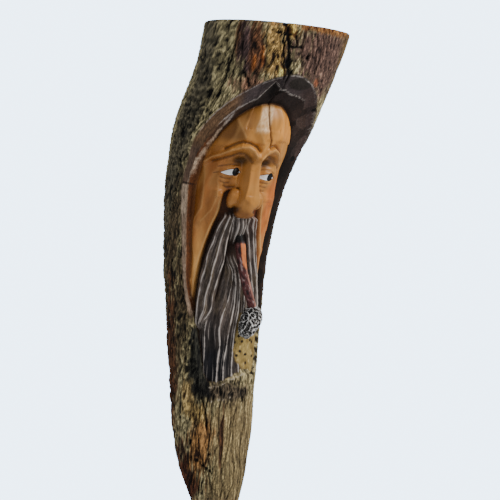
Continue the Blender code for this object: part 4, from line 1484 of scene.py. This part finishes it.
class Shader:
    """A material's node tree, written down node by node."""

    def __init__(self, name: str) -> None:
        """Starts a material with a Principled shader.

        Args:
            name: the material's name.
        """
        self.material = bpy.data.materials.new(name)
        self.material.use_nodes = True
        self.tree = self.material.node_tree
        self.surface = self.tree.nodes["Principled BSDF"]

    def add(self, kind: str, settings: dict[str, object] | None = None, **inputs: object) -> Node:
        """Adds a node.

        Args:
            kind: the node's type.
            settings: properties of the node itself.
            **inputs: a value or a socket for each input, named with underscores; in0, in1 and so on go by place.

        Returns:
            The node.
        """
        node = self.tree.nodes.new(kind)
        for name, value in (settings or {}).items():
            setattr(node, name, value)
        for name, value in inputs.items():
            key = int(name[2:]) if name[:2] == "in" and name[2:].isdigit() else name.replace("_", " ")
            self.put(node.inputs[key], value)
        return node

    def put(self, socket: NodeSocket, value: object) -> None:
        """Links a socket to another, or sets its value.

        Args:
            socket: the input.
            value: another node's output, or a plain value.
        """
        if isinstance(value, NodeSocket):
            self.tree.links.new(value, socket)
        else:
            socket.default_value = value

    def attribute(self, name: str) -> Node:
        """The node that reads one of the mesh's attributes."""
        return self.add("ShaderNodeAttribute", {"attribute_name": name})

    def noise(self, scale: float, stretch: Triple, detail: float = 3.0) -> NodeSocket:
        """Noise in the piece's own coordinates.

        Args:
            scale: cells in a metre.
            stretch: how much of the scale each axis has.
            detail: how many finer layers are added.

        Returns:
            The noise, mostly from 0.3 to 0.7.
        """
        place = self.add("ShaderNodeTexCoord").outputs["Object"]
        mapped = self.add("ShaderNodeMapping", Vector=place, Scale=stretch).outputs["Vector"]
        return self.add("ShaderNodeTexNoise", Vector=mapped, Scale=scale, Detail=detail).outputs["Fac"]

    def mask(self, name: str) -> NodeSocket:
        """One of the mesh's attributes, as a value."""
        return self.attribute(name).outputs["Fac"]

    def set(self, name: str, value: object) -> None:
        """Sets one of the shader's own inputs, or links a socket to it."""
        self.put(self.surface.inputs[name], value)

    def times(self, a: object, b: object) -> NodeSocket:
        """One value times another."""
        return self.maths("MULTIPLY", a, b)

    def maths(self, operation: str, a: object, b: object, clamp: bool = False) -> NodeSocket:
        """One sum on one or two values."""
        return self.add("ShaderNodeMath", {"operation": operation, "use_clamp": clamp}, in0=a, in1=b).outputs[0]

    def spread(self, value: NodeSocket, low: float, high: float, to_low: float, to_high: float) -> NodeSocket:
        """A value moved from one range to another, held at its ends."""
        return self.add("ShaderNodeMapRange", in0=value, in1=low, in2=high, in3=to_low, in4=to_high).outputs[0]

    def distance(self, place: NodeSocket, point: Triple) -> NodeSocket:
        """Distance from each place to a point, in metres."""
        return self.add("ShaderNodeVectorMath", {"operation": "DISTANCE"}, in0=place, in1=point).outputs["Value"]

    def tinted(self, colour: NodeSocket, factor: NodeSocket) -> NodeSocket:
        """A colour multiplied by another."""
        return self.mix(1.0, colour, factor, "MULTIPLY")

    def shaded(self, colour: NodeSocket, level: NodeSocket) -> NodeSocket:
        """A colour multiplied by a level of grey."""
        return self.tinted(colour, self.grey(level, level, level))

    def grey(self, red: object, green: object, blue: object) -> NodeSocket:
        """A colour put together from three values."""
        return self.add("ShaderNodeCombineColor", in0=red, in1=green, in2=blue).outputs[0]

    def mix(self, share: object, first: object, second: object, how: str = "MIX") -> NodeSocket:
        """Mixes two colours.

        Args:
            share: how much of the second shows.
            first, second: the colours.
            how: the way in which the second is laid on.

        Returns:
            The mixed colour.
        """
        node = self.add("ShaderNodeMix", {"data_type": "RGBA", "blend_type": how})
        for key, value in ((0, share), (6, first), (7, second)):
            self.put(node.inputs[key], value)
        return node.outputs[2]

    def bump(self, height: NodeSocket, distance: float, strength: object = 1.0) -> None:
        """Gives the surface a fine relief.

        Args:
            height: the relief, from 0 to 1.
            distance: what 1 stands for, in metres.
            strength: how much of it shows.
        """
        node = self.add("ShaderNodeBump", Height=height, Distance=distance)
        self.put(node.inputs["Strength"], strength)
        self.put(self.surface.inputs["Normal"], node.outputs["Normal"])


@dataclass(frozen=True)
class CarvedFinish:
    """Bark, cut faces, oiled face, stained hair and painted eyes, told apart by the skin's attributes."""

    oiled_roughness: float = 0.38
    bark_roughness: float = 0.86
    specular: float = 0.30
    relief: float = 0.0012

    def wood(
        self, shader: Shader, oiled: NodeSocket, barky: NodeSocket, grain: NodeSocket, speck: NodeSocket
    ) -> tuple[NodeSocket, NodeSocket]:
        """The coat's three tones by its crest field, made ragged by specks, with warm grain where it is oiled.

        Args:
            shader: the material being made.
            oiled, barky: the skin's masks.
            grain, speck: long and short noise.

        Returns:
            (colour, the ragged crest field).
        """
        middle, ridge, hollow = (shader.attribute(name).outputs["Color"] for name in ("middle", "ridge", "hollow"))
        raggedness = shader.spread(barky, 0, 1, 0.20, 0.5)
        unevenness = shader.times(shader.maths("SUBTRACT", speck, 0.5), raggedness)
        crest = shader.maths("ADD", shader.mask("crest"), unevenness)
        tone = shader.mix(shader.spread(crest, 0.14, 0.42, 0, 1), hollow, middle)
        tone = shader.mix(shader.spread(crest, 0.56, 0.84, 0, 1), tone, ridge)
        warm = shader.grey(*(shader.spread(grain, 0.3, 0.7, low, 1.2) for low in (0.76, 0.72, 0.64)))
        figured = shader.mix(shader.times(oiled, 0.8), tone, shader.tinted(tone, warm))
        level = shader.spread(speck, 0.32, 0.68, 0.66, 1.34)
        dusty = shader.shaded(figured, level)
        return shader.mix(shader.maths("SUBTRACT", 1.0, oiled), figured, dusty), crest

    def hair(self, shader: Shader, under: NodeSocket) -> NodeSocket:
        """Fine streaks along the strands, and a thin pale dry-brushed line on each crest, broken here and there.

        Args:
            shader: the material being made.
            under: the colour that the hair is laid on.

        Returns:
            The colour with the hair's lines. How far a place is from a crest, in mm, is the distance of its phase
            from the nearest whole number, times the strands' spacing.
        """
        worn = shader.mask("worn")
        flow = shader.attribute("strand").outputs["Vector"]
        parts = shader.add("ShaderNodeSeparateXYZ", in0=flow).outputs
        phase, spacing = parts[0], parts[1]
        away = shader.maths("ABSOLUTE", shader.maths("SUBTRACT", phase, shader.maths("ROUND", phase, 0.0)), 0.0)
        away = shader.times(away, spacing)
        drawn = shader.add("ShaderNodeMapping", Vector=flow, Scale=(5.0, 0.0, 0.05)).outputs["Vector"]
        streak = shader.add("ShaderNodeTexNoise", Vector=drawn, Scale=1.0, Detail=3.0).outputs["Fac"]
        broken = shader.add("ShaderNodeMapping", Vector=flow, Scale=(0.7, 0.0, 0.11)).outputs["Vector"]
        broken = shader.add("ShaderNodeTexNoise", Vector=broken, Scale=1.0, Detail=2.0).outputs["Fac"]
        level = shader.spread(streak, 0.3, 0.7, 0.30, 1.90)
        on_hair = shader.maths("MINIMUM", shader.times(worn, 2.0), 1.0)
        streaked = shader.mix(on_hair, under, shader.shaded(under, level))
        width = shader.spread(broken, 0.32, 0.66, 0.35, 1.35)
        crest = shader.spread(shader.maths("DIVIDE", away, width), 0.35, 1.0, 1, 0)
        beside = shader.maths("SUBTRACT", away, shader.times(spacing, 0.28))
        beside = shader.spread(shader.maths("ABSOLUTE", beside, 0.0), 0.1, 0.55, 1, 0)
        fine = shader.times(beside, shader.spread(streak, 0.48, 0.62, 0, 0.55))
        crest = shader.maths("MAXIMUM", crest, fine)
        whole = shader.spread(broken, 0.3, 0.5, 0.35, 1.0)
        share = shader.times(shader.times(crest, worn), whole)
        return shader.mix(share, streaked, (*paint(200, 188, 178), 1))

    def material(self) -> Material:
        """Tone by place, with fine grain, and gloss only where the wood is oiled or painted.

        Returns:
            The finish's material.
        """
        shader = Shader("carved_wood_and_bark")
        oiled = shader.mask("oiled")
        barky = shader.mask("barky")
        grain = shader.noise(190, (1, 1, 0.10), 4)
        speck = shader.noise(820, (1, 1, 0.42), 3)
        wood, crest = self.wood(shader, oiled, barky, grain, speck)
        colour = self.hair(shader, wood)
        in_white, in_pupil = shader.mask("eye_white"), shader.mask("pupil")
        lid = shader.times(shader.spread(in_white, -1.0, -0.3, 0, 1), 0.7)
        white, pupil = shader.spread(in_white, -0.1, 0.1, 0, 1), shader.spread(in_pupil, -0.1, 0.1, 0, 1)
        colour = shader.mix(lid, colour, (*paint(84, 48, 22), 1))
        colour = shader.mix(white, colour, (*paint(255, 255, 255), 1))
        colour = shader.mix(pupil, colour, (*paint(10, 10, 13), 1))
        shader.set("Base Color", colour)
        glossy = shader.maths("MAXIMUM", oiled, shader.maths("MAXIMUM", white, pupil))
        gloss = shader.spread(glossy, 0, 1, self.bark_roughness, self.oiled_roughness)
        uneven = shader.spread(speck, 0.3, 0.7, -0.05, 0.08)
        shader.set("Roughness", shader.maths("ADD", gloss, uneven, True))
        shader.set("Specular IOR Level", self.specular)
        rough = shader.maths("ADD", crest, shader.times(speck, 0.5))
        smooth = shader.times(grain, 0.3)
        relief = shader.add("ShaderNodeMix", {"data_type": "FLOAT"}, in0=oiled, in2=rough, in3=smooth).outputs[0]
        shader.bump(relief, self.relief, shader.spread(barky, 0, 1, 0.30, 0.85))
        return shader.material


@dataclass(frozen=True)
class SawnTopFinish:
    """The saw's cut across the top: end grain with uneven rings, drying cracks and the bark's dark rim."""

    heart: Pair = (0.029, -0.052)
    middle: Pair = (0.0225, -0.0485)
    rim: float = 0.0600
    ring: float = 46.0

    def material(self) -> Material:
        """End grain: rings are noise drawn from the distance to the heart alone, bent by a little noise of the place.

        Returns:
            The finish's material.
        """
        shader = Shader("sawn_end_grain")
        place = shader.add("ShaderNodeTexCoord").outputs["Object"]
        flat = shader.add("ShaderNodeMapping", Vector=place, Scale=(1, 1, 0)).outputs[0]
        away = shader.distance(flat, (*self.heart, 0))
        bent = shader.maths("ADD", away, shader.times(shader.noise(26, (1, 1, 0), 2), 0.012))
        drawn = shader.add("ShaderNodeCombineXYZ", in0=shader.times(bent, self.ring)).outputs[0]
        rings = shader.add("ShaderNodeTexNoise", Vector=drawn, Scale=9.0, Detail=4.0).outputs["Fac"]
        age = shader.noise(38, (1, 1, 0.4), 5)
        late, early = (*paint(120, 92, 60), 1), (*paint(174, 142, 100), 1)
        wood = shader.mix(shader.spread(rings, 0.38, 0.62, 0, 1), late, early)
        aged = shader.mix(shader.spread(age, 0.42, 0.68, 0, 0.8), wood, (*paint(92, 72, 52), 1))
        to_heart = (-self.heart[0], -self.heart[1], 0)
        centred = shader.add("ShaderNodeMapping", Vector=place, Location=to_heart).outputs[0]
        turned = shader.add("ShaderNodeTexGradient", {"gradient_type": "RADIAL"}, Vector=centred).outputs["Fac"]
        around, outward = shader.times(turned, 40.0), shader.times(away, 30.0)
        spokes = shader.add("ShaderNodeCombineXYZ", in0=around, in1=outward).outputs[0]
        spoke_noise = shader.add("ShaderNodeTexNoise", Vector=spokes, Scale=1.0, Detail=2.0).outputs["Fac"]
        cracks = shader.spread(spoke_noise, 0.68, 0.74, 0, 1)
        cracked = shader.mix(cracks, aged, (*paint(34, 25, 18), 1))
        out = shader.maths("ADD", shader.distance(flat, (*self.middle, 0)), shader.times(age, 0.004))
        edge = shader.spread(out, self.rim + 0.001, self.rim + 0.0025, 0, 1)
        shader.set("Base Color", shader.mix(edge, cracked, (*paint(58, 42, 30), 1)))
        shader.set("Roughness", 0.85)
        shader.set("Specular IOR Level", 0.3)
        shader.bump(shader.maths("SUBTRACT", shader.noise(500, (1, 1, 0.3), 3), cracks), 0.0006, 0.6)
        return shader.material


@dataclass(frozen=True)
class SawnBackFinish:
    """The saw's cut along the back: straight grey-brown grain with faint marks of the saw across it."""

    grain: float = 150.0
    saw: float = 240.0

    def material(self) -> Material:
        """Sawn board: grain is noise drawn out along the log, and the saw's marks are noise drawn out across it.

        Returns:
            The finish's material.
        """
        shader = Shader("sawn_board")
        wide = shader.noise(self.grain / 3, (1, 1, 0.08), 3)
        fine = shader.noise(self.grain * 3, (1, 1, 0.04), 4)
        marks = shader.noise(self.saw, (0.03, 1, 1), 2)
        dark, pale = (*paint(112, 88, 62), 1), (*paint(172, 144, 108), 1)
        wood = shader.mix(shader.spread(fine, 0.35, 0.65, 0, 1), dark, pale)
        aged = shader.mix(shader.spread(wide, 0.40, 0.70, 0, 0.8), wood, (*paint(98, 76, 56), 1))
        level = shader.spread(marks, 0.35, 0.65, 0.94, 1.05)
        shader.set("Base Color", shader.shaded(aged, level))
        shader.set("Roughness", 0.88)
        shader.set("Specular IOR Level", 0.3)
        shader.bump(shader.maths("ADD", fine, marks), 0.0005, 0.6)
        return shader.material


@dataclass(frozen=True)
class TonedFinish:
    """A finish whose colour is laid on the mesh, for the pipe's stem and bowl."""

    name: str
    roughness: float
    grain: float
    stretch: Triple
    relief: float
    specular: float = 0.5

    def material(self) -> Material:
        """Tone by place, darkened and lightened by fine noise that also gives the relief.

        Returns:
            The finish's material.
        """
        shader = Shader(self.name)
        tone = shader.attribute("tone").outputs["Color"]
        fine = shader.noise(self.grain, self.stretch, 3)
        level = shader.spread(fine, 0.3, 0.7, 0.66, 1.34)
        shader.set("Base Color", shader.shaded(tone, level))
        shader.set("Roughness", shader.spread(fine, 0.3, 0.7, self.roughness - 0.08, self.roughness + 0.1))
        shader.set("Specular IOR Level", self.specular)
        shader.bump(fine, self.relief, 0.7)
        return shader.material


@dataclass(frozen=True)
class PipeTones:
    """The colours of the twig's bark and its peeled side, a painted highlight along its lit side, painted shade on its
    end in the mouth, and the knob's crumbs.
    """

    bark: Colour = paint(96, 52, 50)
    bark_dark: Colour = paint(44, 24, 24)
    scuffed: Colour = paint(176, 150, 144)
    # A painted highlight for the twig's lit side.
    painted_highlight: Colour = paint(186, 128, 110)
    peeled: Colour = paint(214, 124, 70)
    # Painted shade for the twig's end in the mouth.
    painted_mouth_shade: Colour = paint(14, 10, 9)
    gap: Colour = paint(12, 10, 10)
    crumb: Colour = paint(112, 106, 100)
    crumb_top: Colour = paint(226, 224, 220)


@dataclass
class Pipe:
    """The pipe: a twig from the mouth down to a rough grey knob that lies on the beard."""

    shape: LogShape
    stem_top: float = 0.0048
    stem_foot: float = 0.0034
    stem_in_bowl: float = 0.006
    bowl_length: float = 0.030
    bowl_width: float = 0.0195
    bowl_depth: float = 0.0165
    bowl_tilt: float = math.radians(28)
    bowl_place: Triple = (16.0, -108.5, -3.0)
    stem_route: tuple[Triple, ...] = ((5.5, -29, 15.5), (4, -37, 8.5), (5, -60, -0.5))
    tones: PipeTones = PipeTones()

    def place(self, spot: Triple) -> Vector:
        """A place round the log, its height and its depth as a point in metres."""
        return Vector(self.shape.point(*(np.array(float(value)) for value in spot)))

    def bowl_frame(self) -> tuple[Vector, Vector, Vector, Vector]:
        """Where the bowl is and how it lies.

        Returns:
            (its centre, and the directions across it, out of the log and up its length).
        """
        centre = self.place(self.bowl_place)
        s, z, inset = self.bowl_place
        out = (self.place((s, z, inset - 5)) - centre).normalized()
        across = Vector((0, 0, 1)).cross(-out).normalized()
        level_up = across.cross(-out).normalized()
        level_up = level_up if level_up.z > 0 else -level_up
        up = level_up * math.cos(self.bowl_tilt) - across * math.sin(self.bowl_tilt)
        return centre, out.cross(up).normalized(), out, up

    def stem_line(self, steps: int) -> Array:
        """The stem's middle line: the smooth curve through its route and its foot inside the bowl.

        Args:
            steps: how many points it has.

        Returns:
            The points, of shape (steps, 3).
        """
        centre, _, _, up = self.bowl_frame()
        foot = centre + up * (self.bowl_length / 2 - self.stem_in_bowl)
        spots = [self.place(spot) for spot in self.stem_route] + [foot]
        lengths = np.concatenate([[0], np.cumsum([(b - a).length for a, b in zip(spots, spots[1:])])])
        at = np.linspace(0, lengths[-1], steps)
        return np.stack([curve(lengths, [spot[axis] for spot in spots], at) for axis in range(3)], -1)

    def surface(self, name: str, points: Array, colour: Array, finish: TonedFinish) -> bpy.types.Object:
        """A closed piece from a grid of rings.

        Args:
            name: the piece's name.
            points: shape (rings, round, 3), from one end to the other.
            colour: shape (rings * round, 3).
            finish: how it is dressed.

        Returns:
            The piece: quads between the rings, and a cap on each end ring.
        """
        rings, around = points.shape[:2]
        index = np.arange(rings * around).reshape(rings, around)
        ahead = np.roll(index, -1, 1)
        quads = np.stack([index[:-1], ahead[:-1], ahead[1:], index[1:]], -1).reshape(-1, 4)
        mesh = bpy.data.meshes.new(name + "_skin")
        caps = [index[-1].tolist(), index[0, ::-1].tolist()]
        mesh.from_pydata(points.reshape(-1, 3).tolist(), [], quads.tolist() + caps)
        tone = mesh.attributes.new("tone", "FLOAT_COLOR", "POINT")
        tone.data.foreach_set("color", np.column_stack([colour, np.ones(rings * around)]).ravel())
        mesh.shade_smooth()
        mesh.materials.append(finish.material())
        mesh.update()
        piece = bpy.data.objects.new(name, mesh)
        bpy.context.scene.collection.objects.link(piece)
        return piece

    def build_stem(self) -> bpy.types.Object:
        """The twig: a tapering tube with long shallow ridges and small knots, its upper right side peeled.

        A point is the middle line's, plus (cos(turn) * side + sin(turn) * front) * radius. The radius goes in a
        straight line from stem_top to stem_foot, thinner where it enters the mouth, with a slow wave and ridges.

        Returns:
            The piece.
        """
        steps, around = 170, 48
        centre = self.stem_line(steps)
        along = np.gradient(centre, axis=0)
        along /= np.linalg.norm(along, axis=1, keepdims=True)
        side = np.cross((0.0, -1.0, 0.0), along)
        side *= np.sign(side[:, :1]) / np.linalg.norm(side, axis=1, keepdims=True)
        front = np.cross(side, along)
        front *= -np.sign(front[:, 1:2])
        share = np.linspace(0, 1, steps)[:, None]
        turn = np.linspace(0, 2 * math.pi, around, endpoint=False)[None, :]
        u, v = turn / (2 * math.pi) * 10 + 0 * share, share * 8 + 0 * turn
        ridges = 0.00020 * Noise(71, 10).layered(u, v, 3) + 0.00035 * np.exp(-(((share - 0.52) / 0.012) ** 2))
        taper = self.stem_top + (self.stem_foot - self.stem_top) * share - 0.0014 * step(0.17, 0.08, share)
        radius = taper * (1 + 0.05 * np.sin(9 * share + 1)) + ridges
        offset = np.cos(turn)[..., None] * side[:, None] + np.sin(turn)[..., None] * front[:, None]
        points = centre[:, None] + offset * radius[..., None]
        streak = Noise(72, 10).layered(u, v * 2, 3).ravel()
        rightward = (np.cos(turn - 0.75) + 0 * share).ravel()
        down = (share + 0 * turn).ravel()
        tones = self.tones
        colour = np.tile(tones.bark, (len(streak), 1))
        colour = blend(colour, tones.bark_dark, step(0.05, 0.5, streak))
        colour = blend(colour, tones.scuffed, step(0.30, 0.6, -streak) * step(-0.6, 0.0, rightward) * 0.8)
        # A painted highlight along the side of the twig that faces the lamp, on its lower half.
        painted_highlight = step(0.80, 0.97, rightward + 0.08 * streak) * step(0.40, 0.5, down)
        colour = blend(colour, tones.painted_highlight, painted_highlight * 0.9)
        peeled = step(0.35, 0.5, rightward + 0.10 * streak) * step(0.47, 0.40, down + 0.12 * (1 - rightward))
        colour = blend(colour, tones.peeled, peeled * step(0.15, 0.17, down))
        # Painted shade: the top end, where the twig goes into the mouth, is painted black.
        colour = blend(colour, tones.painted_mouth_shade, step(0.17, 0.13, down))
        colour = colour.reshape(steps, around, 3)[:, ::-1].reshape(-1, 3)
        finish = TonedFinish("twig_bark", 0.58, 420, (1, 1, 0.25), 0.0004, 0.3)
        return self.surface("twig_stem", points[:, ::-1], colour, finish)

    def build_bowl(self) -> bpy.types.Object:
        """The knob: a long ball whose skin is broken into pale crumbs and threads with black gaps.

        A point is the centre plus cos(turn) * full across, sin(turn) * full out and sin(lift) along, each times half
        the bowl's size, where full is cos(lift)^0.7, a little wider above, times the roughness.

        Returns:
            The piece.
        """
        centre, across, out, up = self.bowl_frame()
        rings, around = 130, 160
        lift = np.linspace(-0.5 * math.pi + 0.05, 0.5 * math.pi - 0.05, rings)[:, None]
        turn = np.linspace(0, 2 * math.pi, around, endpoint=False)[None, :]
        z = np.sin(lift) + 0 * turn
        u, v = turn / (2 * math.pi) * 11 + 0 * lift, lift * 3.0 + 0 * turn
        bend = 0.4 * Noise(75, 11).smooth(u, v)
        coarse, fine = Noise(73, 11).ridged(u, v + bend, 3.6), Noise(76, 22).ridged(2 * u, 2 * v + bend, 5.0)
        threads = np.maximum(coarse, fine - 0.15)
        crumb = Noise(74, 22).layered(u * 2, v * 2, 2)
        rough = np.sin(5 * turn + 4 * z) * np.sin(7 * z + 2 * turn) + 0.6 * np.sin(9 * turn - 6 * z + 1)
        crest = step(-0.1, 0.95, threads + 0.25 * crumb)
        grow = 1 + 0.05 * rough + 0.11 * (crest - 0.6) + 0.03 * crumb
        full = np.cos(lift) ** 0.7 * (1 + 0.10 * z) * grow
        points = (
            np.array(centre)
            + (np.cos(turn) * full * self.bowl_width / 2)[..., None] * np.array(across)
            + (np.sin(turn) * full * self.bowl_depth / 2)[..., None] * np.array(out)
            + (z * self.bowl_length / 2 * (1 + 0.5 * (grow - 1)))[..., None] * np.array(up)
        )
        tones = self.tones
        colour = np.tile(tones.gap, (rings * around, 1))
        colour = blend(colour, tones.crumb, step(0.52, 0.80, crest.ravel()))
        colour = blend(colour, tones.crumb_top, step(0.84, 1.0, crest.ravel() + 0.12 * crumb.ravel()))
        return self.surface("knob_bowl", points, colour, TonedFinish("rough_knob", 0.85, 900, (1, 1, 1), 0.0008, 0.3))


@dataclass(frozen=True)
class Studio:
    """A pale floor well below the hanging sculpture, soft light from the upper right, and the photograph's view."""

    floor_drop: float = 0.48
    floor_radius: float = 0.70
    lens: float = 120.0
    azimuth: float = -28.0
    elevation: float = 2.3
    roll: float = 5.3
    target: Triple = (0.025, -0.030, -0.045)
    distance: float = 1.5
    sensor: float = 36.0
    seen_strength: float = 6.2
    light_strength: float = 0.40
    floor_corners: int = 96

    def camera(self) -> None:
        """The camera at the photograph's viewing angle, rolled so that the log leans as it does there."""
        azimuth, elevation, roll = (math.radians(angle) for angle in (self.azimuth, self.elevation, self.roll))
        flat = math.cos(elevation)
        back = Vector((math.sin(azimuth) * flat, -math.cos(azimuth) * flat, math.sin(elevation)))
        level = Vector((math.cos(azimuth), math.sin(azimuth), 0))
        upright = back.cross(level)
        right = level * math.cos(roll) + upright * math.sin(roll)
        up = upright * math.cos(roll) - level * math.sin(roll)
        data = bpy.data.cameras.new("view")
        data.lens, data.sensor_width = self.lens, self.sensor
        made = bpy.data.objects.new("view", data)
        turn = Matrix((right, up, back)).transposed().to_4x4()
        made.matrix_world = Matrix.Translation(Vector(self.target) + back * self.distance) @ turn
        bpy.context.scene.collection.objects.link(made)
        bpy.context.scene.camera = made

    def lamp(self, name: str, place: Triple, size: float, power: float, colour: Colour) -> None:
        """A square soft lamp that looks at the sculpture.

        Args:
            name: the lamp's name.
            place: where it stands, in metres.
            size: its side.
            power: in watts.
            colour: its light's.
        """
        data = bpy.data.lights.new(name, "AREA")
        data.size, data.energy, data.color = size, power, colour
        made = bpy.data.objects.new(name, data)
        made.location = place
        made.rotation_euler = (Vector(self.target) - Vector(place)).to_track_quat("-Z", "Y").to_euler()
        bpy.context.scene.collection.objects.link(made)

    def world(self) -> None:
        """Pale surroundings, dimmer as light than they look, so that the carving keeps its shadows."""
        made = bpy.data.worlds.new("pale_room")
        made.use_nodes = True
        nodes, links = made.node_tree.nodes, made.node_tree.links
        seen = nodes["Background"]
        seen.inputs["Color"].default_value = (*paint(206, 230, 255), 1)
        seen.inputs["Strength"].default_value = self.seen_strength
        lit = nodes.new("ShaderNodeBackground")
        lit.inputs["Color"].default_value = (*paint(236, 240, 246), 1)
        lit.inputs["Strength"].default_value = self.light_strength
        path, either = nodes.new("ShaderNodeLightPath"), nodes.new("ShaderNodeMixShader")
        links.new(path.outputs["Is Camera Ray"], either.inputs[0])
        links.new(lit.outputs[0], either.inputs[1])
        links.new(seen.outputs[0], either.inputs[2])
        links.new(either.outputs[0], nodes["World Output"].inputs["Surface"])
        bpy.context.scene.world = made

    def floor(self) -> None:
        """A round pale floor."""
        mesh = bpy.data.meshes.new("floor")
        turn = np.linspace(0, 2 * math.pi, self.floor_corners, endpoint=False)
        height = np.full(self.floor_corners, -self.floor_drop)
        rim = np.column_stack([self.floor_radius * np.cos(turn), self.floor_radius * np.sin(turn), height])
        mesh.from_pydata(rim.tolist(), [], [list(range(self.floor_corners))])
        shader = Shader("pale_floor")
        shader.set("Base Color", (*paint(226, 229, 233), 1))
        shader.set("Roughness", 0.9)
        mesh.materials.append(shader.material)
        made = bpy.data.objects.new("floor", mesh)
        bpy.context.scene.collection.objects.link(made)

    def build(self) -> None:
        """Sets up the whole studio."""
        self.camera()
        self.world()
        self.floor()
        self.lamp("key", (1.15, -1.25, 1.05), 0.9, 34.0, (1.0, 0.98, 0.95))
        self.lamp("fill", (-0.9, -1.6, 0.3), 1.4, 4.0, (0.95, 0.98, 1.0))


def main() -> None:
    """Builds the sculpture's looks piece by piece and notes its size."""
    logging.basicConfig(level=logging.INFO, format="%(message)s")
    Studio().build()
    shape = LogShape()
    log = CarvedLog(shape, Carving(Face(), Hair(), Bark())).build()
    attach(log, "root")
    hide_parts("carved_log")
    LOG.info("log: %d faces", len(log.data.polygons))
    pipe = Pipe(shape)
    stem, bowl = pipe.build_stem(), pipe.build_bowl()
    for piece, node, slot in ((stem, "pipe_stem", "dark_twig"), (bowl, "pipe_bowl", "grey_knob")):
        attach(piece, "root")
        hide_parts(node)
        LOG.info("%s: %d faces", piece.name, len(piece.data.polygons))


if __name__ == "__main__":
    main()
